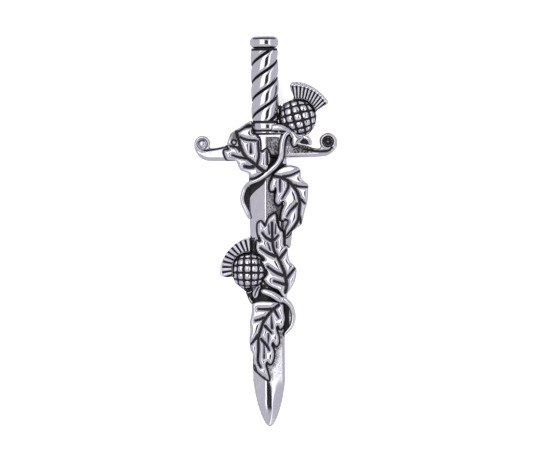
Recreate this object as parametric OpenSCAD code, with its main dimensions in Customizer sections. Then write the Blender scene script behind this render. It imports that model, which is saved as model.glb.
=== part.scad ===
// A dirk-shaped kilt pin in cast metal, with thistles, leaves and a vine over the blade.
// X runs across the dirk, Y up to the pommel, Z out of the face. It lies on the pin's two feet, at Z = 0.

/* [Pommel, grip and collar] */
// Length of the pommel
pommel_len = 3; // [2:0.1:5]
// Width of the pommel
pommel_w = 7.1; // [5:0.1:9]
// Length of the plain neck under the pommel
neck_len = 0.6; // [0.3:0.1:1.5]
// Width of the plain neck
neck_w = 6; // [4:0.1:7]
// Length of the twisted grip
grip_len = 16.9; // [10:0.1:24]
// Width of the twisted grip
grip_w = 6.8; // [5:0.1:8]
// Length of one full turn of the twist
grip_pitch = 12.4; // [8:0.1:20]
// Number of strands in the twist
grip_strands = 3; // [2:1:5]
// Depth of the grooves between the strands
groove_depth = 0.5; // [0.2:0.05:0.8]
// Length of the collar
collar_len = 2.9; // [2:0.1:4]
// Width of the collar
collar_w = 6.9; // [5:0.1:8]
// Height of the grip's centre line over the flat back
grip_centre = 1.2; // [0.6:0.1:2]

/* [Guard] */
// Span of the guard over both scrolls
guard_span = 34.8; // [26:0.1:44]
// Height of the centre block, along the dirk
guard_h = 6; // [4.5:0.1:8]
// Width of the centre block
guard_block_w = 10; // [8:0.1:12]
// Thickness of the centre block
guard_t = 2.8; // [2:0.1:4]
// Height of an arm where it leaves the block
arm_root_h = 3.6; // [2.5:0.1:4.5]
// Height of an arm beside its scroll
arm_tip_h = 2.1; // [1.5:0.1:3]
// Thickness of the arms
arm_t = 2.2; // [1.5:0.1:3]
// How far the left arm's lower edge lies below the right arm's
left_arm_drop = 0.5; // [0.1:0.1:1]
// Radius of the scrolls
scroll_r = 2.15; // [1.5:0.05:3]
// Height of the scrolls' centres over the guard's lower face
scroll_rise = 3.6; // [2.5:0.1:5]
// Radius of the outer bend that carries an arm up into its scroll
sweep_r = 3.5; // [2.5:0.1:5]
// Radius of the raised eye in each scroll
eye_r = 0.7; // [0.4:0.05:1]
// Radius of the sunk ring round each eye
eye_ring_r = 1.25; // [1.1:0.05:1.4]
// Depth of the sunk ring
eye_ring_depth = 0.8; // [0.4:0.1:1.2]

/* [Blade] */
// Length of the blade, shoulders included
blade_len = 65.3; // [60:0.1:90]
// Width of the blade below the shoulders
blade_w = 8.4; // [7:0.1:9.2]
// Width of the blade where the point begins
blade_end_w = 7.6; // [5:0.1:8.4]
// Length of the point
point_len = 11.4; // [6:0.1:18]
// Width of the shoulders
shoulder_w = 10; // [8:0.1:12]
// Length of the shoulders
shoulder_len = 2.1; // [1:0.1:4]
// Thickness of the blade at its ridge
blade_t = 2.2; // [1.6:0.1:3]
// Thickness of the blade at its edges
blade_edge_t = 1.2; // [0.8:0.1:1.6]

/* [Leaves] */
// Width of the leaf over the guard
guard_leaf_w = 11.3; // [9:0.1:14]
// Length of the leaf over the guard
guard_leaf_len = 13.9; // [11:0.1:17]
// Width of the leaf at the blade's shoulder
shoulder_leaf_w = 9.5; // [7.5:0.1:12]
// Length of the leaf at the blade's shoulder
shoulder_leaf_len = 17.5; // [14:0.1:21]
// Width of the leaf across the middle of the blade
middle_leaf_w = 9.9; // [8:0.1:12]
// Length of the leaf across the middle of the blade
middle_leaf_len = 20.8; // [17:0.1:25]
// Width of the leaf on the lower blade
lower_leaf_w = 8.8; // [7:0.1:11]
// Length of the leaf on the lower blade
lower_leaf_len = 19.4; // [15:0.1:24]
// How far the leaf over the guard reaches past the guard's block
guard_leaf_out = 5.2; // [4:0.1:7]
// Rise of that leaf over the guard's upper face
guard_leaf_rise = 2.7; // [1.5:0.1:4]
// Distance of the shoulder leaf from the blade's centre line
shoulder_leaf_out = 0.8; // [0.2:0.1:2]
// Drop of the shoulder leaf below the guard
shoulder_leaf_drop = 2; // [1:0.1:4]
// Reach of the middle leaf left of the blade's centre line
middle_leaf_out = 2.9; // [2:0.1:3.6]
// Drop of the middle leaf below the guard
middle_leaf_drop = 13.7; // [12:0.1:16]
// How far the lower leaf hangs over the blade's left edge
lower_leaf_out = 0.5; // [0.1:0.1:1.2]
// Distance between the middle leaf's foot and the lower leaf's head
leaf_spacing = 0.3; // [0.2:0.1:1]
// Reach of the sunk web beside the middle leaf past the blade's centre line
side_web_reach = 5.9; // [5.2:0.1:7]
// Thickness of a leaf at its edge, over what it lies on
leaf_edge_t = 0.5; // [0.3:0.05:0.8]
// Height of the swelling between a leaf's midrib and its edge
leaf_swell = 0.9; // [0.3:0.05:1.4]
// Height of a leaf's midrib over its edge
rib_rise = 0.3; // [0.1:0.05:0.8]

/* [Vine and tendril] */
// Diameter of the vine where it starts
vine_d = 1.45; // [0.9:0.05:1.8]
// Reach of the vine's curl past the blade's centre line
vine_reach = 5.8; // [5.6:0.1:7.5]
// Length of the vine below the guard
vine_drop = 14.2; // [11:0.1:18]
// Diameter of the tendril where it starts
tendril_d = 1.5; // [0.8:0.05:1.8]
// Reach of the tendril past the blade's centre line
tendril_reach = 6.1; // [5.9:0.1:8]
// Length of the tendril's loop
tendril_len = 8.2; // [6:0.1:11]
// Thickness of the sunk webs inside the vine's curl and the tendril
web_t = 1; // [0.6:0.1:1.4]

/* [Thistles] */
// Radius of the upper thistle's bulb
upper_bulb_r = 4.4; // [3.5:0.1:5.5]
// Height of the upper bulb's centre over the collar's lower edge
upper_bulb_rise = 3.5; // [2.5:0.1:5]
// Radius of the upper thistle's tuft, from its own centre
upper_tuft_r = 10.4; // [8:0.1:12]
// Turn of the upper thistle from straight up
upper_turn = -24; // [-35:1:-10]
// Distance of the upper tuft's centre behind its bulb's
upper_tuft_back = 1.9; // [1:0.1:3]
// Radius of the lower thistle's bulb
lower_bulb_r = 4.2; // [3.5:0.1:5.5]
// Radius of the lower thistle's tuft
lower_tuft_r = 7.3; // [6:0.1:9]
// Turn of the lower thistle from straight up
lower_turn = 52; // [40:1:65]
// Distance of the lower bulb's centre from the blade's left edge
lower_bulb_out = 0.3; // [0:0.1:1]
// Drop of the lower bulb's centre below the middle leaf's tip
lower_bulb_drop = 13.9; // [12:0.1:16]
// Height of the bulbs over the flat back
bulb_t = 4.4; // [3.5:0.1:5.5]
// Number of scales across a bulb
scales = 5; // [3:1:7]
// Height of the scales
scale_h = 0.35; // [0.1:0.05:0.5]
// Number of ribs in a tuft
tuft_ribs = 10; // [6:1:14]
// Height of the tufts' ribs
tuft_rib_h = 0.4; // [0.2:0.05:0.6]
// Height of the tufts' rims over the flat back
tuft_t = 3.4; // [2.6:0.1:4]
// Diameter of the thistles' stems
stem_d = 1.5; // [1:0.05:1.8]
// Width of the small pointed leaf under the upper thistle's strap
bract_w = 2.8; // [2:0.1:3.5]
// Length of that small leaf
bract_len = 2.9; // [2:0.1:3.5]

/* [Brooch pin] */
// Height of the casting's flat back over the surface it lies on
back_h = 6.5; // [6.4:0.1:8]
// Width of the soldered bar
bar_w = 3.6; // [2:0.1:5]
// Thickness of the soldered bar
bar_t = 0.7; // [0.5:0.1:1]
// Distance from the guard's lower face to the hinge block's upper side
hinge_drop = 3; // [1:0.1:5]
// Distance from the hinge block's middle to the catch's middle
needle_span = 49; // [35:0.1:51]
// Diameter of the needle
needle_d = 1; // [0.8:0.05:1.2]
// Width of the two feet
foot_w = 5; // [3.5:0.1:6]
// Length of the hinge block
hinge_len = 4; // [3:0.1:6]
// Length of the catch
catch_len = 3; // [2:0.1:5]
// Thickness of the catch's bent strip
catch_t = 0.6; // [0.5:0.05:0.8]
// Length of the catch's thumb lug past the blade's edge
lug_reach = 0.35; // [0.1:0.05:1]
// Width of the thumb lug
lug_w = 0.8; // [0.5:0.1:1.5]

/* [Clearance] */
// Clearance between neighbouring pieces
gap = 0.08; // [0.05:0.01:0.12]

/* [Hidden] */
$fn = 48;
tall = 30;
// Depth of a clearance below the flat back, so that it cuts through
depth = 1;

// Heights along the dirk, from the tip of the blade to the top of the pommel
total_len = pommel_len + neck_len + grip_len + collar_len + guard_h + blade_len + 3 * gap;
tip_y = -total_len / 2;
blade_top = tip_y + blade_len;
guard_low = blade_top + gap;
guard_top = guard_low + guard_h;
collar_low = guard_top + gap;
collar_top = collar_low + collar_len;
grip_low = collar_top + gap;
grip_top = grip_low + grip_len;
pommel_low = grip_top + neck_len;

// The level that leaves, vine and stems clear
blade_level = blade_t + gap;
guard_level = max(guard_t, arm_t, blade_t) + gap;

// Closed rings of points joined into one solid: the first half of a ring lies across from its second half,
// and each end is closed by strips between the halves
module skin(rings) {
    n = len(rings[0]);
    last = len(rings) - 1;
    sides = [for (i = [0 : last - 1], j = [0 : n - 1], half = [0, 1])
        let (a = i * n + j, b = i * n + (j + 1) % n, c = a + n, d = b + n)
        half == 0 ? [a, b, d] : [a, d, c]];
    ends = [for (j = [0 : n / 2 - 2], half = [0, 1])
        half == 0 ? [j, n - 2 - j, j + 1] : [j, n - 1 - j, n - 2 - j]];
    other_ends = [for (f = ends) [last * n + f[0], last * n + f[2], last * n + f[1]]];
    polyhedron(points = [for (ring = rings) each ring], faces = concat(sides, ends, other_ends), convexity = 10);
}

// A row of points over the flat back, with the points below them; a clearance reaches deeper
function grounded(row, base = 0) = concat(row, [for (i = [len(row) - 1 : -1 : 0]) [row[i].x, row[i].y, base]]);

// A smooth curve through a list of points, with a number of steps between neighbours
function curve_point(a, b, c, d, t) =
    (2 * b + (c - a) * t + (2 * a - 5 * b + 4 * c - d) * t * t + (3 * b - a - 3 * c + d) * t * t * t) / 2;
function smooth(points, steps) =
    let (last = len(points) - 1)
    concat(
        [for (i = [0 : last - 1], k = [0 : steps - 1])
            curve_point(points[max(i - 1, 0)], points[i], points[i + 1], points[min(i + 2, last)], k / steps)],
        [points[last]]);

// A round stem along a path whose points are [x, y, z, radius], grown on all sides for a cut
module stem(path, sides = 8, grow = 0) {
    last = len(path) - 1;
    rings = [for (i = [0 : last])
        let (
            p = path[i],
            ahead = path[min(i + 1, last)] - path[max(i - 1, 0)],
            along = [ahead.x, ahead.y, ahead.z] / norm([ahead.x, ahead.y, ahead.z]),
            side = cross(along, [0, 0, 1]) / norm(cross(along, [0, 0, 1])),
            up = cross(side, along),
            end = i == 0 ? -grow : i == last ? grow : 0,
            r = p[3] + grow
        )
        [for (j = [0 : sides - 1])
            let (a = 360 * (j + 0.5) / sides)
            [p.x, p.y, p.z] + along * end + side * r * cos(a) + up * r * sin(a)]];
    skin(rings);
}

module above_back() {
    intersection() {
        children();
        translate([-tall * 2, -tall * 2, 0]) cube([tall * 4, tall * 4, tall]);
    }
}

// A round bar of the grip, lying along the dirk with a flat back: its profile gives [radius, y]
module turned(profile) {
    above_back()
        translate([0, 0, grip_centre])
            rotate([-90, 0, 0])
                rotate_extrude($fn = 64)
                    polygon(concat([[0, profile[0].y]], profile, [[0, profile[len(profile) - 1].y]]));
}

module pommel() {
    r = pommel_w / 2;
    round_r = min(0.7, pommel_len / 4);
    profile = concat(
        [[r - round_r, pommel_low + gap], [r - 0.1, pommel_low + gap + round_r]],
        [for (a = [0 : 30 : 90])
            [r - round_r + round_r * cos(a), total_len / 2 - round_r + round_r * sin(a)]]);
    color("silver") turned(profile);
}

// Length over which the grip's grooves run out at its upper end, and the slope down to the plain neck
groove_fade = 0.8;
neck_slope = 0.05;

// Radius of the twisted grip at an angle round it and a distance along it
function grip_radius(angle, along) =
    let (
        wave = abs(sin(grip_strands * (angle + 360 * along / grip_pitch) / 2)),
        fade = min(1, (grip_len - along) / groove_fade)
    )
    along > grip_len ? neck_w / 2 : grip_w / 2 - groove_depth * fade * pow(1 - wave, 2);

// Each ring of the grip runs over the top from the flat back's right edge to its left edge
module grip(grow = 0) {
    rows = 26;
    around = 29;
    start = -asin(grip_centre / (grip_w / 2));
    base = grow > 0 ? -depth : 0;
    stations = concat(
        [for (i = [0 : rows]) grip_len * i / rows],
        [grip_len + neck_slope, grip_len + neck_len]);
    color("silver")
        skin([for (i = [0 : len(stations) - 1])
            let (over = i == 0 ? -grow : i > rows ? grow : 0)
            [for (j = [0 : around])
                let (
                    a = start + (180 - 2 * start) * j / around,
                    r = grip_radius(a, stations[i]) + grow
                )
                [r * cos(a), grip_low + stations[i] + over,
                 j == 0 || j == around ? base : max(base, grip_centre + r * sin(a))]]]);
}

module collar(grow = 0) {
    r = collar_w / 2 + grow;
    bevel = 0.35;
    color("silver")
        turned([
            [r - bevel, collar_low - grow], [r, collar_low - grow + 2 * bevel],
            [r, collar_top + grow - 2 * bevel], [r - bevel, collar_top + grow]]);
}

scroll_centre = [guard_span / 2 - scroll_r, scroll_rise];
// How far an arm runs into the centre block, and where it starts to swell beside the scroll
arm_lap = 1;
arm_flare = 2.4;

// One arm of the guard, to the right: flat below, swept up round the end and curled over into a scroll
module arm_outline(drop) {
    root_x = guard_block_w / 2 - arm_lap;
    step_x = max(guard_block_w, shoulder_w) / 2 + 2 * gap;
    sweep = [guard_span / 2 - sweep_r, scroll_rise];
    neck_x = scroll_centre.x - scroll_r;
    polygon(concat(
        [[root_x, 0]],
        drop > 0 ? [[step_x, 0], [step_x, -drop]] : [],
        [for (a = [-90 : 10 : -10]) sweep + [sweep_r * cos(a), (scroll_rise + drop) * sin(a)]],
        [for (a = [0 : 12 : 204]) scroll_centre + scroll_r * [cos(a), sin(a)]],
        [[neck_x - 0.3, arm_tip_h + 0.1], [neck_x - arm_flare, arm_tip_h + 0.2],
         [neck_x - 1.7 * arm_flare, arm_root_h - 0.2], [root_x, arm_root_h]]));
}

module guard() {
    ring_low = arm_t - eye_ring_depth;
    sink = 0.2;
    color("silver")
        translate([0, guard_low, 0])
            union() {
                translate([-guard_block_w / 2, 0, 0])
                    cube([guard_block_w, guard_h, guard_t]);
                for (side = [0, 1])
                    let (drop = side * left_arm_drop)
                    mirror([side, 0, 0]) {
                        difference() {
                            linear_extrude(arm_t) arm_outline(drop);
                            translate([scroll_centre.x, scroll_centre.y, ring_low])
                                cylinder(r = eye_ring_r, h = tall);
                        }
                        translate([scroll_centre.x, scroll_centre.y, ring_low - sink])
                            cylinder(r1 = eye_r, r2 = eye_r * 0.7, h = eye_ring_depth + 2 * sink);
                    }
            }
}

// The room that pieces lying over the guard leave for it
module guard_clearance() {
    translate([-guard_block_w / 2 - gap, guard_low - gap, -depth])
        cube([guard_block_w + 2 * gap, guard_h + 2 * gap, depth + guard_t + gap]);
    translate([-guard_span / 2, guard_low - left_arm_drop - gap, -depth])
        cube([guard_span, left_arm_drop + arm_root_h + 2 * gap, depth + arm_t + gap]);
}

// Half-width of the blade at a distance from its top
function blade_half(d) =
    d < shoulder_len ? shoulder_w / 2 :
    d < blade_len - point_len ?
        blade_w / 2 + (blade_end_w - blade_w) / 2 * (d - shoulder_len) / (blade_len - point_len - shoulder_len) :
        blade_end_w / 2 * pow(1 - pow((d - blade_len + point_len) / point_len, 1.3), 0.55);

// Height of the blade's face at a distance from its centre line; the shoulders are flat past the blade's width
function blade_face(x) = blade_t - (blade_t - blade_edge_t) * min(1, x / (blade_w / 2));

module blade(grow = 0) {
    steps = [
        0, shoulder_len - 0.01, shoulder_len, blade_len - point_len,
        for (k = [1 : 11]) blade_len - point_len + point_len * (1 - pow(1 - k / 12, 1.5))];
    right = [for (d = steps) [blade_half(d) + grow, blade_top - d + (d == 0 ? grow : 0)]];
    left = [for (i = [len(right) - 1 : -1 : 0]) [-right[i].x, right[i].y]];
    side = max(shoulder_w, blade_w) / 2 + depth;
    base = grow > 0 ? -depth : 0;
    face = [[blade_w / 2, blade_edge_t + grow], [side, blade_edge_t + grow]];
    color("silver")
        intersection() {
            translate([0, 0, -2 * depth])
                linear_extrude(tall)
                    polygon(concat(right, [[0, tip_y - grow]], left));
            rotate([90, 0, 0])
                linear_extrude(4 * tall, center = true)
                    polygon([
                        [-side, base], [side, base], face[1], face[0], [0, blade_t + grow],
                        [-face[0].x, face[0].y], [-face[1].x, face[1].y]]);
        }
}

// Leaves: each row runs from the left edge over the midrib to the right edge, and holds
// [left across, left along, midrib across, midrib along, right across, right along],
// in shares of the leaf's width and length from its upper left corner.
guard_leaf_rows = [
    [0.53, 0.02, 0.57, 0.01, 0.61, 0.00],
    [0.29, 0.14, 0.40, 0.11, 0.62, 0.08],
    [0.14, 0.23, 0.29, 0.20, 0.50, 0.22],
    [0.07, 0.36, 0.31, 0.30, 0.48, 0.30],
    [0.10, 0.49, 0.34, 0.38, 0.70, 0.32],
    [0.00, 0.54, 0.38, 0.47, 0.78, 0.37],
    [0.04, 0.64, 0.43, 0.56, 0.78, 0.50],
    [0.15, 0.69, 0.50, 0.63, 0.80, 0.52],
    [0.28, 0.73, 0.58, 0.69, 0.92, 0.50],
    [0.34, 0.85, 0.65, 0.75, 1.00, 0.62],
    [0.45, 0.90, 0.72, 0.80, 0.98, 0.74],
    [0.56, 0.98, 0.79, 0.86, 0.95, 0.83],
    [0.74, 0.96, 0.85, 0.91, 0.92, 0.88]];
shoulder_leaf_rows = [
    [0.13, 0.11, 0.16, 0.10, 0.19, 0.07],
    [0.04, 0.19, 0.24, 0.15, 0.42, 0.00],
    [0.00, 0.30, 0.38, 0.19, 0.74, 0.02],
    [0.09, 0.36, 0.48, 0.22, 0.81, 0.12],
    [0.16, 0.36, 0.56, 0.27, 0.83, 0.19],
    [0.14, 0.47, 0.63, 0.31, 1.00, 0.28],
    [0.21, 0.55, 0.70, 0.38, 0.99, 0.42],
    [0.33, 0.54, 0.75, 0.46, 0.96, 0.52],
    [0.38, 0.57, 0.76, 0.53, 0.92, 0.60],
    [0.30, 0.68, 0.76, 0.62, 0.88, 0.68],
    [0.29, 0.76, 0.74, 0.72, 0.86, 0.75],
    [0.41, 0.78, 0.69, 0.79, 0.82, 0.82],
    [0.45, 0.81, 0.60, 0.86, 0.69, 0.88],
    [0.39, 0.90, 0.51, 0.92, 0.56, 0.93],
    [0.39, 0.98, 0.41, 0.99, 0.43, 1.00]];
middle_leaf_rows = [
    [0.47, 0.01, 0.49, 0.00, 0.51, 0.01],
    [0.32, 0.06, 0.44, 0.07, 0.53, 0.08],
    [0.25, 0.12, 0.42, 0.14, 0.56, 0.16],
    [0.12, 0.09, 0.42, 0.19, 0.61, 0.20],
    [0.06, 0.19, 0.42, 0.25, 0.64, 0.27],
    [0.11, 0.31, 0.43, 0.32, 0.67, 0.36],
    [0.00, 0.37, 0.44, 0.39, 0.78, 0.38],
    [0.06, 0.47, 0.48, 0.46, 0.81, 0.48],
    [0.20, 0.53, 0.54, 0.52, 0.84, 0.56],
    [0.14, 0.58, 0.59, 0.57, 0.97, 0.62],
    [0.26, 0.68, 0.65, 0.64, 1.00, 0.70],
    [0.16, 0.76, 0.69, 0.70, 0.97, 0.78],
    [0.26, 0.82, 0.73, 0.77, 0.90, 0.84],
    [0.42, 0.87, 0.75, 0.84, 0.81, 0.90],
    [0.60, 0.93, 0.74, 0.92, 0.76, 0.95],
    [0.69, 0.99, 0.73, 0.99, 0.77, 1.00]];
lower_leaf_rows = [
    [0.25, 0.01, 0.60, 0.02, 0.85, 0.03],
    [0.09, 0.04, 0.74, 0.09, 0.95, 0.07],
    [0.07, 0.14, 0.62, 0.15, 0.98, 0.15],
    [0.03, 0.23, 0.50, 0.20, 1.00, 0.23],
    [0.02, 0.33, 0.42, 0.25, 0.95, 0.32],
    [0.01, 0.43, 0.36, 0.31, 0.84, 0.36],
    [0.00, 0.51, 0.31, 0.38, 0.77, 0.37],
    [0.02, 0.60, 0.27, 0.46, 0.81, 0.46],
    [0.07, 0.66, 0.25, 0.54, 0.80, 0.56],
    [0.11, 0.73, 0.25, 0.63, 0.63, 0.58],
    [0.11, 0.80, 0.24, 0.71, 0.68, 0.66],
    [0.17, 0.87, 0.26, 0.78, 0.64, 0.77],
    [0.28, 0.92, 0.32, 0.85, 0.45, 0.80],
    [0.40, 0.97, 0.42, 0.93, 0.48, 0.88],
    [0.51, 1.00, 0.52, 0.98, 0.54, 0.97]];

// Share of the way from the midrib to the edge, with the share of the swelling there
leaf_profile = [[0.12, 0.5], [0.35, 0.95], [0.65, 1], [0.88, 0.6], [1, 0]];

function leaf_place(share, corner, w, l) = [corner.x + w * share.x, corner.y - l * share.y];

// A leaf's cross-sections, with its edge at a given level over the flat back
function leaf_sections(rows, corner, w, l, level) = [
    for (i = [0 : len(rows) - 1])
        let (
            row = rows[i],
            rib = leaf_place([row[2], row[3]], corner, w, l),
            at_end = i == 0 || i == len(rows) - 1
        )
        grounded([
            for (side = [-1, 0, 1])
                let (
                    edge = leaf_place(side < 0 ? [row[0], row[1]] : [row[4], row[5]], corner, w, l),
                    swell = at_end ? 0 : leaf_swell * min(1, norm(edge - rib) / 2),
                    order = side < 0 ? [len(leaf_profile) - 1 : -1 : 0] : [0 : len(leaf_profile) - 1]
                )
                if (side == 0) [rib.x, rib.y, level + leaf_edge_t + rib_rise]
                else
                    each [for (k = order)
                        let (s = leaf_profile[k], p = rib + (edge - rib) * s[0])
                        [p.x, p.y, level + leaf_edge_t + swell * s[1] + rib_rise * (1 - s[0])]]])];

// The same leaf's outline, as a tall block grown on all sides, that keeps its neighbours clear
module leaf_clearance(rows, corner, w, l) {
    edge = concat(
        [for (row = rows) leaf_place([row[0], row[1]], corner, w, l)],
        [for (i = [len(rows) - 1 : -1 : 0]) leaf_place([rows[i][4], rows[i][5]], corner, w, l)]);
    linear_extrude(tall) offset(delta = gap) polygon(edge);
}

guard_leaf_corner = [-guard_block_w / 2 - guard_leaf_out, guard_top + guard_leaf_rise];
shoulder_leaf_corner = [shoulder_leaf_out, guard_low - shoulder_leaf_drop];
middle_leaf_corner = [-middle_leaf_out, guard_low - middle_leaf_drop];
lower_leaf_corner = [-blade_w / 2 - lower_leaf_out, middle_leaf_corner.y - middle_leaf_len - leaf_spacing];

// The sunk web beside the blade, from the shoulder leaf's tip down to the middle leaf
module side_web() {
    inner = blade_w / 2 - 1.2;
    low = middle_leaf_corner.y - 0.44 * middle_leaf_len;
    high = max(shoulder_leaf_corner.y - shoulder_leaf_len + 0.6, low + 1);
    linear_extrude(blade_edge_t + 0.6)
        polygon([
            [inner, low], [(inner + side_web_reach) / 2, low], [side_web_reach, (low + high) / 2],
            [side_web_reach, high], [inner, high]]);
}

module guard_leaf() {
    color("silver")
        difference() {
            skin(leaf_sections(guard_leaf_rows, guard_leaf_corner, guard_leaf_w, guard_leaf_len, guard_level));
            guard_clearance();
            blade(gap);
            collar(gap);
            grip(gap);
            vine_stem(gap);
        }
}

module shoulder_leaf() {
    color("silver")
        difference() {
            skin(leaf_sections(shoulder_leaf_rows, shoulder_leaf_corner, shoulder_leaf_w, shoulder_leaf_len,
                               blade_level));
            guard_clearance();
            blade(gap);
            vine_stem(gap);
        }
}

module middle_leaf() {
    color("silver")
        difference() {
            union() {
                skin(leaf_sections(middle_leaf_rows, middle_leaf_corner, middle_leaf_w, middle_leaf_len,
                                   blade_level));
                side_web();
            }
            blade(gap);
            leaf_clearance(shoulder_leaf_rows, shoulder_leaf_corner, shoulder_leaf_w, shoulder_leaf_len);
            lower_bulb_clearance();
            tendril_stem(gap);
            lower_stems(gap);
        }
}

module lower_leaf() {
    color("silver")
        difference() {
            skin(leaf_sections(lower_leaf_rows, lower_leaf_corner, lower_leaf_w, lower_leaf_len, blade_level));
            blade(gap);
            leaf_clearance(middle_leaf_rows, middle_leaf_corner, middle_leaf_w, middle_leaf_len);
            tendril_stem(gap);
            translate([0, 0, -depth]) linear_extrude(depth + web_t + gap) offset(delta = gap) tendril_web();
            lower_stems(gap);
        }
}

// Height of the centre of a stem of radius r that rests on the blade, or beside it at the height of the webs
function stem_z(x, r) =
    let (near = abs(x) - r)
    r + (near < blade_w / 2 + gap ? gap + blade_face(max(near, 0)) : web_t * 0.6);

// The vine's points over the guard: [share of the blade's half-width, share of the guard's height, thickness share]
vine_over_guard = [
    [1.36, 0.98, 0.8], [1.14, 0.86, 1], [0.98, 0.62, 1], [0.91, 0.28, 1], [0.87, 0.03, 0.95], [0.80, -0.06, 0.95]];
// Its points below the guard: [share of its reach, share of its drop, thickness share]
vine_below_guard = [
    [0.47, -0.11, 0.95], [0.21, -0.21, 0.92], [-0.05, -0.30, 0.9], [-0.34, -0.37, 0.88], [-0.67, -0.44, 0.86],
    [-0.90, -0.52, 0.84], [-1.00, -0.64, 0.78], [-0.99, -0.76, 0.7], [-0.92, -0.87, 0.6], [-0.83, -0.95, 0.5],
    [-0.75, -1.00, 0.4]];
vine_path = concat(
    [for (p = vine_over_guard)
        let (r = vine_d / 2 * p[2])
        [blade_w / 2 * p[0], guard_low + guard_h * p[1], guard_level + r, r]],
    [for (p = vine_below_guard)
        let (r = vine_d / 2 * p[2], x = (vine_reach - vine_d / 2) * p[0])
        [x, guard_low + vine_drop * p[1], stem_z(x, r), r]]);

module vine_stem(grow = 0) stem(smooth(vine_path, 2), 8, grow);

// The outline of a web between a curled stem and the blade's edge, from one of the stem's points to another
module web_outline(path, from, to) {
    side = sign(path[to].x);
    polygon(concat(
        [for (i = [from : to]) [path[i].x, path[i].y]],
        [for (y = [path[to].y, path[from].y]) [side * (blade_half(blade_top - y) + gap), y]]));
}

module vine() {
    first = len(vine_over_guard) + 5;
    color("silver") {
        vine_stem();
        linear_extrude(web_t) web_outline(vine_path, first, len(vine_path) - 2);
    }
}

// The tendril's points: [share of its reach, share of its length, thickness share]
tendril_points = [
    [0.64, -0.01, 1.0], [0.74, -0.06, 1], [0.86, -0.17, 0.95], [0.97, -0.34, 0.9], [1.00, -0.54, 0.86],
    [0.98, -0.72, 0.8], [0.90, -0.86, 0.66], [0.80, -0.95, 0.5]];
tendril_top = lower_leaf_corner.y + gap;
tendril_path = [for (p = tendril_points)
    let (r = tendril_d / 2 * p[2], x = tendril_reach * p[0])
    [x, tendril_top + tendril_len * p[1], stem_z(x, r), r]];

module tendril_stem(grow = 0) stem(smooth(tendril_path, 2), 8, grow);

module tendril_web() web_outline(tendril_path, 3, len(tendril_path) - 1);

module tendril() {
    color("silver") {
        tendril_stem();
        linear_extrude(web_t) tendril_web();
    }
}

// A bulb's cross-sections over a square grid that is bent to a disc, with a swelling for each scale
function disc(u, v) = [u * sqrt(1 - v * v / 2), v * sqrt(1 - u * u / 2)];
function scale_bump(u, v) =
    pow(abs(sin(180 * (u + 1) / 2 * scales)), 0.5) * pow(abs(sin(180 * (v + 1) / 2 * scales)), 0.5);
module bulb(r, centre, turn, grow = 0) {
    cells = 3 * scales;
    rim_t = 0.3 * bulb_t;
    translate([centre.x, centre.y, 0])
        rotate(turn)
            skin([for (i = [0 : cells])
                let (v = 1 - 2 * i / cells)
                grounded([for (j = [0 : cells])
                    let (
                        u = 2 * j / cells - 1,
                        p = disc(u, v),
                        dome = sqrt(max(0, 1 - p.x * p.x - p.y * p.y)),
                        bump = grow > 0 ? scale_h : scale_h * scale_bump(u, v)
                    )
                    [(r + grow) * p.x, (r + grow) * p.y,
                     rim_t + (bulb_t - scale_h - rim_t) * dome + bump * min(1, 2 * dome) + grow]],
                    grow > 0 ? -depth : 0)]);
}

upper_bulb_centre = [max(grip_w, collar_w) / 2 + upper_bulb_r + gap, collar_low + upper_bulb_rise];
lower_bulb_centre = [-blade_w / 2 - lower_bulb_out, middle_leaf_corner.y - lower_bulb_drop];

module upper_thistle_bulb() {
    color("silver")
        difference() {
            bulb(upper_bulb_r, upper_bulb_centre, upper_turn);
            grip(gap);
            collar(gap);
        }
}

module lower_thistle_bulb() {
    color("silver")
        difference() {
            bulb(lower_bulb_r, lower_bulb_centre, 0);
            blade(gap);
        }
}

module upper_bulb_clearance() bulb(upper_bulb_r, upper_bulb_centre, upper_turn, gap);
module lower_bulb_clearance() bulb(lower_bulb_r, lower_bulb_centre, 0, gap);

// Across a tuft: share of the way out, with the height as a share of the rim's
tuft_profile = [[0, 0.86], [0.35, 0.72], [0.7, 0.8], [0.84, 1], [1, 0.88]];
tuft_rim_start = 0.8;

// A tuft: ribs fanned about a centre between two angles from its axis, rising to a rim
module tuft(centre, turn, inner_r, outer_r, sides) {
    columns = 2 * tuft_ribs;
    translate([centre.x, centre.y, 0])
        rotate(turn)
            skin([for (i = [0 : columns])
                let (a = 90 + sides[0] + (sides[1] - sides[0]) * i / columns, groove = i % 2 == 0 ? tuft_rib_h : 0)
                grounded([for (s = tuft_profile)
                    let (r = inner_r + (outer_r - inner_r) * s[0])
                    [r * cos(a), r * sin(a), tuft_t * s[1] - (s[0] < tuft_rim_start ? groove : 0)]])]);
}

// Angles of the tufts' two sides from their axes
upper_tuft_sides = [34, -30];
lower_tuft_sides = [52, -50];
// Place of the lower tuft's centre beside its bulb's
lower_tuft_shift = [0.2, 0.8];

module upper_thistle_tuft() {
    centre = upper_bulb_centre - upper_tuft_back * [-sin(upper_turn), cos(upper_turn)];
    color("silver")
        difference() {
            tuft(centre, upper_turn, 0.9 * upper_bulb_r, upper_tuft_r, upper_tuft_sides);
            cylinder_clearance(upper_bulb_centre, upper_bulb_r);
        }
}

module lower_thistle_tuft() {
    color("silver")
        difference() {
            tuft(lower_bulb_centre + lower_tuft_shift, lower_turn, 0.8 * lower_bulb_r, lower_tuft_r,
                 lower_tuft_sides);
            cylinder_clearance(lower_bulb_centre, lower_bulb_r);
            blade(gap);
        }
}

module cylinder_clearance(centre, r) {
    translate([centre.x, centre.y, -depth]) cylinder(r = r + gap, h = tall);
}

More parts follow.
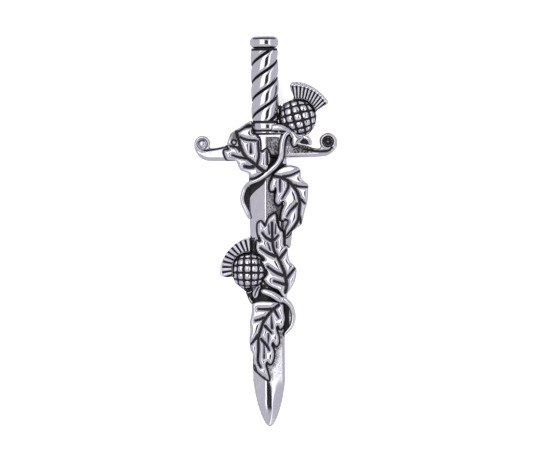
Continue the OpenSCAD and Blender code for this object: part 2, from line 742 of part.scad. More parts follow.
// The strap that leaves the collar, and the curled stem under the bulb: [across, along, level, thickness share],
// across and along as shares of the way from the strap's foot to the bulb's foot
upper_strap_points = [
    [0.00, 0.00, 0.80, 0.7], [0.04, 0.75, 0.80, 0.9], [0.22, 1.15, 0.65, 1], [0.50, 0.95, 0.35, 1],
    [0.76, 0.40, 0.10, 1], [1.00, -0.35, 0, 1]];
upper_curl_points = [[1.00, -0.35, 0, 1], [1.35, -0.85, 0, 0.9], [1.56, -1.4, 0, 0.85], [1.64, -2.3, 0, 0.8]];
strap_foot = [collar_w / 2 - 2, collar_low + 0.2];
strap_end = [upper_bulb_centre.x - 0.8, collar_low + 1.2];

function strap_path(points) = [for (p = points)
    let (r = stem_d / 2 * p[3])
    [strap_foot.x + (strap_end.x - strap_foot.x) * p[0], strap_foot.y + (strap_end.y - strap_foot.y) * p[1],
     guard_level + (bulb_t - guard_level) * p[2] + r, r]];

// The small pointed leaf under the strap: [across, along] as shares of its size
bract_shape = [[0.1, 1.0], [1.0, 0.75], [0.7, 0.3], [0.1, 0.0], [0.0, 0.4], [0.16, 0.7]];
bract_corner = [strap_end.x - 0.8, guard_low + arm_root_h - 0.4];

module upper_thistle_stem() {
    color("silver")
        difference() {
            union() {
                stem(smooth(strap_path(upper_strap_points), 2));
                stem(smooth(strap_path(upper_curl_points), 2));
                translate([bract_corner.x, bract_corner.y, 0])
                    linear_extrude(guard_level + 0.7 * stem_d)
                        polygon([for (p = bract_shape) [bract_w * p.x, bract_len * p.y]]);
            }
            guard_clearance();
            collar(gap);
            upper_bulb_clearance();
            vine_stem(gap);
        }
}

// The lower stem, from the tendril's start to the bulb's foot, and the knob below the bulb:
// [share of the way across, share of the rise, thickness share]
lower_stem_points = [[1, 0, 0.9], [0.74, 0.42, 1.15], [0.45, 0.72, 1.2], [0.2, 0.72, 1], [0.0, 0.3, 0.8]];
lower_knob_points = [[-0.26, 0.55, 0.8], [-0.2, 0.16, 0.9], [-0.1, -0.06, 0.9], [0.0, 0.3, 0.8]];
lower_stem_start = [tendril_path[0].x - tendril_d, tendril_top + gap];
lower_stem_end = [lower_bulb_centre.x + stem_d, lower_bulb_centre.y - lower_bulb_r - 2.3];
lower_stem_rise = 3;

function lower_stem_path(points) = [for (p = points)
    let (r = stem_d / 2 * p[2])
    [lower_stem_end.x + (lower_stem_start.x - lower_stem_end.x) * p[0],
     lower_stem_end.y + lower_stem_rise * p[1], blade_level + r, r]];

module lower_stems(grow = 0) {
    stem(smooth(lower_stem_path(lower_stem_points), 2), 8, grow);
    stem(smooth(lower_stem_path(lower_knob_points), 2), 8, grow);
}

module lower_thistle_stem() {
    color("silver")
        difference() {
            lower_stems();
            blade(gap);
            lower_bulb_clearance();
            tendril_stem(gap);
        }
}

hinge_y = guard_low - hinge_drop - hinge_len / 2;
catch_y = hinge_y - needle_span;
// The needle presses a little into the catch's floor, so the two are one solid
needle_press = 0.1;
needle_z = catch_t - needle_press + needle_d / 2;
bar_low = back_h - gap - bar_t;

// The hidden finding: a soldered bar, a hinge block, a fixed needle and a bent catch with a thumb lug
module brooch_pin() {
    lug_x = blade_end_w / 2 + lug_reach;
    bar_end = catch_y - catch_len / 2;
    color("gray") {
        translate([-bar_w / 2, bar_end, bar_low])
            cube([bar_w, hinge_y + hinge_len / 2 - bar_end, bar_t]);
        translate([-foot_w / 2, hinge_y - hinge_len / 2, 0])
            cube([foot_w, hinge_len, back_h - gap]);
        translate([0, hinge_y, needle_z])
            rotate([90, 0, 0])
                cylinder(d = needle_d, h = needle_span + catch_len / 2 - 2 * needle_press);
        translate([-foot_w / 2, catch_y - catch_len / 2, 0])
            cube([catch_t, catch_len, back_h - gap]);
        translate([-foot_w / 2, catch_y - catch_len / 2, 0])
            cube([foot_w, catch_len, catch_t]);
        translate([foot_w / 2 - catch_t, catch_y - catch_len / 2, 0])
            cube([catch_t, catch_len, needle_z + needle_d / 2]);
        translate([-foot_w / 2, catch_y - catch_len / 2, bar_low])
            cube([foot_w / 2, catch_len, bar_t]);
        translate([-lug_x, catch_y - lug_w / 2, bar_low])
            cube([lug_x, lug_w, bar_t]);
    }
}

module on_back() translate([0, 0, back_h]) children();

on_back() pommel();
on_back() grip();
on_back() collar();
on_back() guard();
on_back() blade();
on_back() vine();
on_back() tendril();
on_back() guard_leaf();
on_back() shoulder_leaf();
on_back() middle_leaf();
on_back() lower_leaf();
on_back() upper_thistle_bulb();
on_back() upper_thistle_tuft();
on_back() upper_thistle_stem();
on_back() lower_thistle_bulb();
on_back() lower_thistle_tuft();
on_back() lower_thistle_stem();
brooch_pin();
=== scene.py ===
"""Dresses the dirk-shaped kilt pin: chased relief, polished silver with dark recesses, light and camera."""
from __future__ import annotations

import logging
import math
from abc import ABC, abstractmethod
from dataclasses import dataclass, field
from enum import Enum
from typing import Callable, Sequence

import bpy
import numpy as np
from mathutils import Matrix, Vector, geometry

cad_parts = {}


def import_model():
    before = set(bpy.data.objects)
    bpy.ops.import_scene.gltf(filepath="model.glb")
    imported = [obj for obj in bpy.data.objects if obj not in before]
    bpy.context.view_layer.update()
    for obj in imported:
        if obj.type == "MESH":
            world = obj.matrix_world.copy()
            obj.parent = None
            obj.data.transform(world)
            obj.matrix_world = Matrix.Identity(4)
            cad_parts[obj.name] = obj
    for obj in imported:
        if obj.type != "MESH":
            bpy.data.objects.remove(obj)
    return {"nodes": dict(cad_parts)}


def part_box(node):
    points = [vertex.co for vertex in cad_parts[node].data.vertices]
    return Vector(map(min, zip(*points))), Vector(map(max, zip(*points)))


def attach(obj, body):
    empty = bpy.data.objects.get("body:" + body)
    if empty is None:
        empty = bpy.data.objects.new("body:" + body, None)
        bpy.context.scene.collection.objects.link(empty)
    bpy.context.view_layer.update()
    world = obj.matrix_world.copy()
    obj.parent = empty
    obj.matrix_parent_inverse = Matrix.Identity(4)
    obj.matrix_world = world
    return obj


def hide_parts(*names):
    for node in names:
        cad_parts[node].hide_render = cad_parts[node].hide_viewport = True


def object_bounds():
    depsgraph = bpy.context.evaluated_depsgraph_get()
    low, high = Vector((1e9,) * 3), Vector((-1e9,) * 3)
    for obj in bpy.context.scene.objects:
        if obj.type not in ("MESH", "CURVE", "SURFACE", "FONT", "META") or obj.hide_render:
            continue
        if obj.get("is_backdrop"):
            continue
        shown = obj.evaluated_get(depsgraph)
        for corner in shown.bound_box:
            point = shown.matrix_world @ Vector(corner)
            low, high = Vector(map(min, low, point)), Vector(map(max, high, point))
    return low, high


LOG = logging.getLogger("kilt_pin")
MM = 0.001
# Width and height of the photograph, in pixels
FRAME_W = 533
FRAME_H = 462
# Rows of a triangular grid lie this share of its spacing apart
ROW_PITCH = 0.866
Points = Sequence[tuple[float, float]]
Colour = tuple[float, float, float]
Base = float | Callable[[np.ndarray], np.ndarray]


class Slot(Enum):
    """The record's material slots."""

    SILVER = "antiqued_silver"
    STEEL = "pin_steel"


@dataclass(frozen=True)
class PhotoScale:
    """Turns pixels of the photograph into millimetres of the frame, over a pin that leans a little left."""

    length_mm: float
    axis_x: float = 266.95
    middle_y: float = 231.25
    lean: float = 0.0151
    length_px: float = 390.5

    @property
    def mm_per_px(self) -> float:
        """Millimetres that one pixel covers."""
        return self.length_mm / self.length_px

    def mm(self, points: Points) -> np.ndarray:
        """Places pixels in the frame.

        Args:
            points: Pixel places, x to the right and y down.

        Returns:
            Their places in millimetres, one row each.
        """
        px = np.asarray(points, float).reshape(-1, 2)
        dx, dy = px[:, 0] - self.axis_x, px[:, 1] - self.middle_y
        return np.stack([dx - self.lean * dy, -(dy + self.lean * dx)], 1) * self.mm_per_px

    def point(self, x: float, y: float) -> np.ndarray:
        """Places one pixel in the frame, in millimetres."""
        return self.mm([(x, y)])[0]

    def line(self, points: Points, step: float = 0.15) -> np.ndarray:
        """A smooth open line through pixels, in millimetres."""
        return curve(self.mm(points), step)

    def loop(self, points: Points, step: float = 0.2) -> np.ndarray:
        """A smooth closed outline through pixels, in millimetres."""
        return curve(self.mm(points), step, closed=True)


def ramp(value: np.ndarray, low: float, high: float) -> np.ndarray:
    """Smooth step from 0 at low to 1 at high."""
    t = np.clip((value - low) / (high - low), 0.0, 1.0)
    return t * t * (3.0 - 2.0 * t)


def turned(x: np.ndarray, width: np.ndarray) -> np.ndarray:
    """Drop of a face whose slope grows evenly from 0 to 1 over a width, and stays at 1 after it."""
    x = np.clip(x, 0.0, None)
    return np.where(x < width, x ** 2 / (2 * width), x - width / 2)


def curve(points: np.ndarray, step: float, closed: bool = False) -> np.ndarray:
    """A smooth curve through points.

    Args:
        points: The places it passes through, with any number of columns; the first two are across and along.
        step: Distance between the curve's own points.
        closed: Whether the curve returns to its first point.

    Returns:
        The curve's points, one row each.
    """
    pts = np.asarray(points, float)
    count = len(pts)
    rows = []
    for i in range(count if closed else count - 1):
        if closed:
            a, b, c, d = (pts[(i + k) % count] for k in (-1, 0, 1, 2))
        else:
            a, b, c, d = (pts[min(max(i + k, 0), count - 1)] for k in (-1, 0, 1, 2))
        steps = max(1, int(math.ceil(np.linalg.norm((c - b)[:2]) / step)))
        for k in range(steps):
            t = k / steps
            rows.append(0.5 * (2 * b + (c - a) * t + (2 * a - 5 * b + 4 * c - d) * t * t
                               + (3 * b - a - 3 * c + d) * t ** 3))
    if not closed:
        rows.append(pts[-1])
    return np.array(rows)


def to_line(points: np.ndarray, line: np.ndarray, closed: bool = False,
            half: tuple[float, float] = (0.0, 0.0)) -> np.ndarray:
    """Distance of points from a line that has a thickness.

    Args:
        points: Places to measure, one row each.
        line: The line's points.
        closed: Whether the line returns to its first point.
        half: Half-thickness at the line's start and end.

    Returns:
        The distances from the thick line's edge, negative inside it.
    """
    a = line if closed else line[:-1]
    b = np.roll(line, -1, 0) if closed else line[1:]
    side = b - a
    size = np.maximum((side ** 2).sum(1), 1e-12)
    lengths = np.sqrt(size)
    start = np.concatenate([[0.0], np.cumsum(lengths)[:-1]])
    total = max(lengths.sum(), 1e-9)
    out = np.empty(len(points))
    block = 4000
    for k in range(0, len(points), block):
        p = points[k:k + block, None, :]
        t = np.clip(((p - a) * side).sum(2) / size, 0.0, 1.0)
        away = np.sqrt(((p - (a + side * t[..., None])) ** 2).sum(2))
        share = (start + t * lengths) / total
        out[k:k + block] = (away - half[0] - (half[1] - half[0]) * share).min(1)
    return out


def inside(points: np.ndarray, outline: np.ndarray) -> np.ndarray:
    """Finds the points that lie inside a closed outline.

    Args:
        points: Places to test, one row each.
        outline: The outline's points.

    Returns:
        True for each point inside.
    """
    x, y = points[:, 0], points[:, 1]
    hit = np.zeros(len(points), bool)
    for (x0, y0), (x1, y1) in zip(outline, np.roll(outline, -1, 0)):
        if y0 == y1:
            continue
        crosses = (y0 > y) != (y1 > y)
        hit ^= crosses & (x < x0 + (y - y0) * (x1 - x0) / (y1 - y0))
    return hit


def past_edge(points: np.ndarray, outline: np.ndarray) -> np.ndarray:
    """Distance of points from a closed outline, negative inside it."""
    away = to_line(points, outline, True)
    return np.where(inside(points, outline), -away, away)


def grain(points: np.ndarray, size: float, seed: float = 0.0) -> np.ndarray:
    """Soft irregular waves over the metal.

    Args:
        points: Places, one row each.
        size: Length of the waves, in millimetres.
        seed: Chooses the pattern.

    Returns:
        Values from -1 to 1.
    """
    p = points[:, :2] * (2 * math.pi / size)
    total = np.zeros(len(points))
    waves = 5
    for k in range(waves):
        turn = seed + 1.7 * k
        u = p[:, 0] * math.cos(turn) + p[:, 1] * math.sin(turn)
        v = p[:, 1] * math.cos(turn) - p[:, 0] * math.sin(turn)
        total += np.sin(u * (0.6 + 0.23 * k) + 1.3 * np.sin(v * 0.7 + seed + k))
    return total / waves


@dataclass
class Surface:
    """Heights over a patch of the pin, with how dark and how stippled each place is."""

    z: np.ndarray
    dark: np.ndarray
    stipple: np.ndarray

    @classmethod
    def polished(cls, z: np.ndarray) -> Surface:
        """Starts a bright and smooth surface with given heights."""
        return cls(z, np.zeros(len(z)), np.zeros(len(z)))

    def darken(self, amount: np.ndarray) -> None:
        """Makes each place at least this dark."""
        self.dark = np.maximum(self.dark, amount)


@dataclass
class Shell:
    """Gathers the closed surfaces of one piece, in millimetres, with their darkness and stipple."""

    name: str
    points: list[np.ndarray] = field(default_factory=list)
    faces: list[tuple[int, ...]] = field(default_factory=list)
    dark: list[np.ndarray] = field(default_factory=list)
    stipple: list[np.ndarray] = field(default_factory=list)
    count: int = 0
    thinnest: float = 0.05
    under_dark: float = 0.32
    under_stipple: float = 0.25
    grid_margin: float = 0.45
    merge: float = 1e-7

    def add(self, points: np.ndarray, faces: Sequence[tuple[int, ...]], dark: np.ndarray,
            stipple: np.ndarray) -> None:
        """Adds a closed surface.

        Args:
            points: Its points, one row of three each.
            faces: Its faces, as places in those points.
            dark: Darkness of each point, from 0 to 1.
            stipple: Stipple of each point, from 0 to 1.
        """
        self.faces += [tuple(int(v) + self.count for v in f) for f in faces]
        self.points.append(points)
        self.dark.append(np.clip(dark, 0.0, 1.0))
        self.stipple.append(np.clip(stipple, 0.0, 1.0))
        self.count += len(points)

    def grid(self, outline: np.ndarray, spacing: float) -> np.ndarray:
        """Fills an outline with a triangular grid that keeps clear of its edge.

        Args:
            outline: Closed outline, one row for each point.
            spacing: Distance between the grid's points.

        Returns:
            The grid's points, one row each.
        """
        low, high = outline.min(0), outline.max(0)
        rows = np.arange(low[1], high[1], spacing * ROW_PITCH)
        cols = np.arange(low[0], high[0], spacing)
        grid = np.array([(x + (spacing / 2 if i % 2 else 0.0), y) for i, y in enumerate(rows) for x in cols])
        grid = grid[inside(grid, outline)]
        return grid[to_line(grid, outline, True) > self.grid_margin * spacing]

    def relief(self, outline: np.ndarray, base: Base, spacing: float,
               surface: Callable[[np.ndarray], Surface]) -> None:
        """Adds a patch of relief with upright sides.

        Args:
            outline: Closed outline, one row for each point.
            base: Height of its underside, or a function that gives it at places.
            spacing: Distance between the points inside.
            surface: Gives the heights and the darkness at given places.
        """
        plane = [Vector(p) for p in np.concatenate([outline, self.grid(outline, spacing)])]
        border = [list(range(len(outline)))]
        flat, _, cells, _, _, _ = geometry.delaunay_2d_cdt(plane, [], border, 1, self.merge)
        xy = np.array([(p.x, p.y) for p in flat])
        top = surface(xy)
        count = len(xy)
        under = base(xy) if callable(base) else np.full(count, base)
        under = np.minimum(under, top.z - self.thinnest)
        sides = {(a, b) for cell in cells for a, b in zip(cell, list(cell[1:]) + [cell[0]])}
        faces = [tuple(cell) for cell in cells]
        faces += [tuple(v + count for v in reversed(cell)) for cell in cells]
        faces += [(b, a, a + count, b + count) for a, b in sides if (b, a) not in sides]
        points = np.concatenate([np.column_stack([xy, top.z]), np.column_stack([xy, under])])
        dark = np.concatenate([top.dark, np.full(count, self.under_dark)])
        stipple = np.concatenate([top.stipple, np.full(count, self.under_stipple)])
        self.add(points, faces, dark, stipple)

    def rings(self, rings: np.ndarray, dark: np.ndarray) -> None:
        """Adds a closed skin over rings of points.

        Args:
            rings: Points as rings, points and coordinates.
            dark: Darkness, one row for each ring.
        """
        count, around = rings.shape[:2]
        faces: list[tuple[int, ...]] = []
        for i in range(count - 1):
            for j in range(around):
                k = (j + 1) % around
                faces.append((i * around + j, i * around + k, (i + 1) * around + k, (i + 1) * around + j))
        faces.append(tuple(range(around - 1, -1, -1)))
        faces.append(tuple(range((count - 1) * around, count * around)))
        flat = rings.reshape(-1, 3)
        self.add(flat, faces, dark.reshape(-1), np.zeros(len(flat)))

    def tube(self, path: np.ndarray, sides: int = 14, lower: float = 0.75) -> None:
        """Adds a round stem with rounded ends.

        Args:
            path: Points as across, along, height and radius.
            sides: Points round the stem.
            lower: Darkness of the painted shade on its underside.
        """
        ends = [(-0.8, 0.45), (-0.45, 0.8)]
        ahead = np.gradient(path[:, :3], axis=0)
        ahead /= np.linalg.norm(ahead, axis=1)[:, None]
        rows = [(path[0, :3] + ahead[0] * s * path[0, 3], ahead[0], path[0, 3] * r) for s, r in ends]
        rows += [(p[:3], a, p[3]) for p, a in zip(path, ahead)]
        rows += [(path[-1, :3] - ahead[-1] * s * path[-1, 3], ahead[-1], path[-1, 3] * r)
                 for s, r in reversed(ends)]
        turn = np.arange(sides) * 2 * math.pi / sides
        rings = []
        for centre, along, radius in rows:
            side = np.cross(along, (0.0, 0.0, 1.0))
            side /= np.linalg.norm(side)
            up = np.cross(side, along)
            rings.append(centre + radius * (np.cos(turn)[:, None] * side + np.sin(turn)[:, None] * up))
        # Painted shade: darkest on the stem's underside, lighter along its flanks, none on top
        shade = lower * ramp(-np.sin(turn), -0.35, 0.5)
        self.rings(np.array(rings), np.tile(shade, (len(rings), 1)))

    def build(self, smooth_angle: float = 40.0) -> bpy.types.Object:
        """Makes the piece.

        Args:
            smooth_angle: Largest angle, in degrees, that is still shaded as one surface.

        Returns:
            The new object, in metres.
        """
        points = np.concatenate(self.points) * MM
        mesh = bpy.data.meshes.new(self.name)
        mesh.from_pydata(points.tolist(), [], self.faces)
        for key, values in (("dark", self.dark), ("stipple", self.stipple)):
            layer = mesh.attributes.new(key, "FLOAT", "POINT")
            layer.data.foreach_set("value", np.concatenate(values).astype(np.float32))
        mesh.validate()
        mesh.shade_smooth()
        mesh.set_sharp_from_angle(angle=math.radians(smooth_angle))
        piece = bpy.data.objects.new(self.name, mesh)
        bpy.context.scene.collection.objects.link(piece)
        return piece


class Wire:
    """A node socket that adds Math nodes when it is used in an expression."""

    def __init__(self, graph: Graph, socket: bpy.types.NodeSocket) -> None:
        """Wraps a socket of a graph."""
        self.graph = graph
        self.socket = socket

    def _math(self, operation: str, *values: Wire | float) -> Wire:
        """Adds a Math node over values and returns its result."""
        return self.graph.node("ShaderNodeMath", {"operation": operation}, dict(enumerate(values))).out()

    def __add__(self, other: Wire | float) -> Wire:
        """Sum."""
        return self._math("ADD", self, other)

    def __radd__(self, other: float) -> Wire:
        """Sum with a number on the left."""
        return self._math("ADD", other, self)

    def __sub__(self, other: Wire | float) -> Wire:
        """Difference."""
        return self._math("SUBTRACT", self, other)

    def __rsub__(self, other: float) -> Wire:
        """Difference from a number."""
        return self._math("SUBTRACT", other, self)

    def __mul__(self, other: Wire | float) -> Wire:
        """Product."""
        return self._math("MULTIPLY", self, other)

    def __rmul__(self, other: float) -> Wire:
        """Product with a number on the left."""
        return self._math("MULTIPLY", other, self)

    def largest(self, other: Wire | float) -> Wire:
        """The larger of two values."""
        return self._math("MAXIMUM", self, other)

    def least(self, other: Wire | float) -> Wire:
        """The smaller of two values."""
        return self._math("MINIMUM", self, other)

    def between(self, low: float, high: float) -> Wire:
        """Smooth step from 0 at low to 1 at high."""
        settings = {"interpolation_type": "SMOOTHSTEP"}
        return self.graph.node("ShaderNodeMapRange", settings, {0: self, 1: low, 2: high}).out()


@dataclass
class Node:
    """A node of a graph."""

    graph: Graph
    raw: bpy.types.Node

    def out(self, key: int | str = 0) -> Wire:
        """One of the node's outputs."""
        return Wire(self.graph, self.raw.outputs[key])


class Graph:
    """A material's or a world's nodes."""

    def __init__(self, tree: bpy.types.NodeTree) -> None:
        """Starts from an empty tree."""
        self.tree = tree
        tree.nodes.clear()

    def node(self, kind: str, settings: dict[str, object] | None = None,
             values: dict[int | str, object] | None = None) -> Node:
        """Adds a node.

        Args:
            kind: Its type.
            settings: Properties that are set first; "stops" are a ramp's stops, as place and colour.
            values: Values or links of its sockets.

        Returns:
            The node.
        """
        raw = self.tree.nodes.new(kind)
        for key, value in (settings or {}).items():
            if key == "stops":
                ramp_stops = raw.color_ramp.elements
                while len(ramp_stops) < len(value):
                    ramp_stops.new(0.5)
                for stop, (place, colour) in zip(ramp_stops, value):
                    stop.position = place
                    stop.color = (*colour, 1.0)
            else:
                setattr(raw, key, value)
        for key, value in (values or {}).items():
            if isinstance(value, Wire):
                self.tree.links.new(value.socket, raw.inputs[key])
            else:
                raw.inputs[key].default_value = value
        return Node(self, raw)

    def mix(self, factor: Wire | float, first: object, second: object) -> Wire:
        """Mixes two colours.

        Args:
            factor: Share of the second colour.
            first: The first colour, as a value or a link.
            second: The second colour, as a value or a link.

        Returns:
            The mixed colour.
        """
        made = self.node("ShaderNodeMix", {"data_type": "RGBA"})
        for key, value in (("Factor", factor), ("A", first), ("B", second)):
            sockets = [s for s in made.raw.inputs if s.name == key and s.enabled]
            if isinstance(value, Wire):
                self.tree.links.new(value.socket, sockets[0])
            else:
                sockets[0].default_value = value
        return Wire(self, next(s for s in made.raw.outputs if s.enabled))

    def noise(self, place: Wire, scale: float, detail: float) -> Wire:
        """Adds a noise texture and returns its value."""
        values = {"Vector": place, "Scale": scale, "Detail": detail}
        return self.node("ShaderNodeTexNoise", None, values).out("Fac")

    def stored(self, name: str) -> Wire:
        """Reads a value that the mesh keeps at each of its points."""
        return self.node("ShaderNodeAttribute", {"attribute_name": name}).out("Fac")

    def bump(self, height: Wire, strength: float, depth_mm: float) -> Wire:
        """Adds a Bump node over a height and returns its normal."""
        return self.node("ShaderNodeBump", None,
                         {"Strength": strength, "Distance": depth_mm * MM, "Height": height}).out()

    def principled(self, values: dict[int | str, object]) -> None:
        """Ends a material with a Principled shader that has these values and links."""
        shader = self.node("ShaderNodeBsdfPrincipled", None, values).out()
        self.node("ShaderNodeOutputMaterial", None, {"Surface": shader})


def new_material(name: str) -> tuple[bpy.types.Material, Graph, Wire]:
    """Starts a material.

    Args:
        name: Its name.

    Returns:
        The material, its empty graph and the place on the object.
    """
    made = bpy.data.materials.new(name)
    made.use_nodes = True
    graph = Graph(made.node_tree)
    return made, graph, graph.node("ShaderNodeTexCoord").out("Object")


@dataclass(frozen=True)
class AntiquedSilver:
    """Bright silver plate with a dark patina left in the recesses and between the stipple's grains; the same
    dark also carries painted shade at the foot of overlying pieces and under round stems.
    """

    plate: Colour = (0.50, 0.49, 0.54)
    patina: Colour = (0.012, 0.010, 0.012)
    umber: Colour = (0.09, 0.075, 0.065)
    polish: float = 0.13
    patina_rough: float = 0.34
    stipple_rough: float = 0.16
    stipple_mm: float = 0.34
    broad_scale: float = 420.0
    fine_scale: float = 2600.0
    edge: tuple[float, float] = (0.30, 0.72)
    pit_dark: float = 0.95
    most_umber: float = 0.6
    bump_strength: float = 0.55
    bump_mm: float = 0.12
    name: str = "antiqued silver"

    def material(self) -> bpy.types.Material:
        """Makes the material.

        Returns:
            The material, which reads the darkness and the stipple of the mesh's points.
        """
        made, g, place = new_material(self.name)
        dark, stipple = g.stored("dark"), g.stored("stipple")
        broad, fine = g.noise(place, self.broad_scale, 3.0), g.noise(place, self.fine_scale, 2.0)
        pitch = self.stipple_mm * MM
        grains = g.node("ShaderNodeTexVoronoi", {"feature": "SMOOTH_F1"},
                        {"Vector": place, "Scale": 1.0 / pitch, "Smoothness": 0.35}).out("Distance")
        speck = g.noise(place, 0.9 / pitch, 2.0)
        pits = stipple * (grains.between(0.30, 0.55) * 0.45 + speck.between(0.47, 0.60) * 0.7).least(1.0)
        ragged = (dark + (broad - 0.5) * 0.30 + (fine - 0.5) * 0.14).between(*self.edge)
        mask = ragged.largest(pits * self.pit_dark)
        worn = g.mix((pits * (1.0 - ragged)).least(self.most_umber), (*self.patina, 1.0), (*self.umber, 1.0))
        rough = (self.polish + (broad - 0.5) * 0.05 + stipple * self.stipple_rough
                 + mask * self.patina_rough)
        relief = (1.0 - grains) * stipple + fine * 0.05 + broad * 0.10
        g.principled({"Base Color": g.mix(mask, (*self.plate, 1.0), worn), "Roughness": rough,
                      "Metallic": 1.0 - mask * 0.35,
                      "Normal": g.bump(relief, self.bump_strength, self.bump_mm)})
        return made


@dataclass(frozen=True)
class PlatedSteel:
    """Nickel-plated steel of the finding on the back, lightly brushed along its length."""

    colour: Colour = (0.66, 0.65, 0.64)
    worn: Colour = (0.45, 0.44, 0.42)
    brushed: tuple[float, float, float] = (9000.0, 350.0, 9000.0)
    cloud_scale: float = 300.0
    polish: float = 0.24
    bump_strength: float = 0.25
    bump_mm: float = 0.03
    name: str = "plated steel"

    def material(self) -> bpy.types.Material:
        """Makes the material.

        Returns:
            The material.
        """
        made, g, place = new_material(self.name)
        drawn = g.node("ShaderNodeMapping", None, {"Vector": place, "Scale": self.brushed}).out()
        lines, cloud = g.noise(drawn, 1.0, 3.0), g.noise(place, self.cloud_scale, 4.0)
        g.principled({"Base Color": g.mix(cloud.between(0.45, 0.8), (*self.colour, 1.0), (*self.worn, 1.0)),
                      "Roughness": self.polish + lines * 0.18, "Metallic": 1.0,
                      "Normal": g.bump(lines, self.bump_strength, self.bump_mm)})
        return made


@dataclass
class Levels:
    """Heights of the pin's layers, in millimetres: the first three are read from the frame."""

    back: float
    blade_ridge: float
    guard_top: float
    # Thickness of a leaf's edge, and the clearance between layers
    edge_t: float = 0.5
    seat: float = 0.08

    @classmethod
    def from_frame(cls) -> Levels:
        """Reads the layers' heights from the frame."""
        blade_low, blade_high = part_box("blade")
        return cls(blade_low[2] / MM, blade_high[2] / MM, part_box("guard")[1][2] / MM)

    @property
    def over_blade(self) -> float:
        """The level that pieces on the blade start from."""
        return self.blade_ridge + self.seat

    @property
    def over_guard(self) -> float:
        """The level that pieces on the guard start from."""
        return self.guard_top + self.seat


@dataclass
class Workshop:
    """What every piece needs: the photograph's scale, the layers' heights, the finish and the covers."""

    photo: PhotoScale
    levels: Levels
    silver: bpy.types.Material
    blade: Blade
    handle: Handle
    covers: dict[str, tuple[np.ndarray, bool, tuple[float, float]]] = field(default_factory=dict)
    # How far an outline keeps from the blade, runs under the handle, and is drawn to either from
    joint: float = -0.01
    tuck: float = 0.15
    snap: float = 0.22
    # How near the blade or the guard a piece is lifted over it, and how near two points are one
    clear: float = 0.12
    same: float = 1e-3

    def beside(self, outline: np.ndarray) -> np.ndarray:
        """Moves an outline that runs into or close past the blade or the handle to lie right beside them.

        Args:
            outline: Closed outline, one row for each point.

        Returns:
            The moved outline, without points that fell together.
        """
        out = outline.copy()
        half = self.blade.half(np.clip(self.blade.top_y - out[:, 1], 0.0, None)) + self.joint
        half = np.where(out[:, 1] > self.blade.top_y, 0.0, half)
        half = np.maximum(half, self.handle.half(out[:, 1]) - self.tuck)
        out[:, 0] = np.where(np.abs(out[:, 0]) < half + self.snap, np.sign(out[:, 0]) * half, out[:, 0])
        apart = np.linalg.norm(out - np.roll(out, 1, 0), axis=1) > self.same
        return out[apart]

    def underside(self, points: np.ndarray) -> np.ndarray:
        """Height that a piece starts from: the pin's back, or the top of what lies under it.

        Args:
            points: Places on the piece, one row each.

        Returns:
            The height at each place, in millimetres.
        """
        base = np.full(len(points), self.levels.back)
        for name, level in (("blade", self.levels.over_blade), ("guard", self.levels.over_guard)):
            line = self.covers[name][0]
            near = inside(points, line) | (to_line(points, line, True) < self.clear)
            base[near] = level
        handle = np.abs(points[:, 0]) < self.handle.half(points[:, 1]) + self.clear
        base[handle & (points[:, 1] > self.blade.top_y)] = self.levels.over_guard
        return base

    def cover(self, name: str, line: np.ndarray, closed: bool = True,
              half: tuple[float, float] = (0.0, 0.0)) -> None:
        """Notes the outline of a piece that lies over others, for the painted shade and patina round its
        foot.
        """
        self.covers[name] = (line, closed, half)

    def shade(self, points: np.ndarray, names: Sequence[str], reach: float = 0.38) -> np.ndarray:
        """Painted shade, with the patina, at the foot of pieces that lie over this one.

        Args:
            points: Places on this piece.
            names: The pieces that lie over it.
            reach: Width of the dark line, in millimetres.

        Returns:
            Darkness from 0 to 1.
        """
        out = np.zeros(len(points))
        for name in names:
            line, closed, half = self.covers[name]
            margin = reach * 1.5 + max(half)
            near = ((points > line.min(0) - margin) & (points < line.max(0) + margin)).all(1)
            away = (past_edge(points[near], line) if closed
                    else to_line(points[near], line, False, half))
            out[near] = np.maximum(out[near], 1.0 - ramp(away, reach * 0.5, reach * 1.5))
        return out

    def finish(self, shell: Shell, *nodes: str) -> bpy.types.Object:
        """Builds a piece, gives it the silver and puts it in its nodes' place.

        Args:
            shell: The piece's surfaces.
            nodes: The nodes that it stands for.

        Returns:
            The finished object.
        """
        piece = shell.build()
        piece.data.materials.append(self.silver)
        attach(piece, "root")
        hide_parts(*nodes)
        LOG.info("%s: %d faces", piece.name, len(piece.data.polygons))
        return piece


class Patch(ABC):
    """Anything that is shaped by its heights over an outline, such as a leaf or a scaly bulb."""

    spacing: float

    @abstractmethod
    def outline(self, shop: Workshop) -> np.ndarray:
        """The patch's closed outline in millimetres, one row for each point."""

    @abstractmethod
    def heights(self, points: np.ndarray, outline: np.ndarray, shop: Workshop) -> Surface:
        """Shapes the patch.

        Args:
            points: Places on it, one row each, in millimetres.
            outline: Its closed outline in millimetres.
            shop: The workshop.

        Returns:
            Heights, darkness and stipple at those places.
        """

    def base(self, shop: Workshop) -> Base:
        """The level that the patch starts from: the pin's back, where nothing else is said."""
        return shop.levels.back

    def add_to(self, shell: Shell, shop: Workshop) -> None:
        """Adds the patch to a piece.

        Args:
            shell: The piece.
            shop: The workshop.
        """
        outline = self.outline(shop)
        shell.relief(outline, self.base(shop), self.spacing,
                     lambda points: self.heights(points, outline, shop))


class Piece(Patch):
    """A patch that is a piece of its own, or the main part of one."""

    name: str
    node: str

    def build(self, shop: Workshop) -> bpy.types.Object:
        """Builds the piece.

        Args:
            shop: The workshop.

        Returns:
            The finished object.
        """
        shell = Shell(self.name)
        self.add_to(shell, shop)
        return shop.finish(shell, self.node)


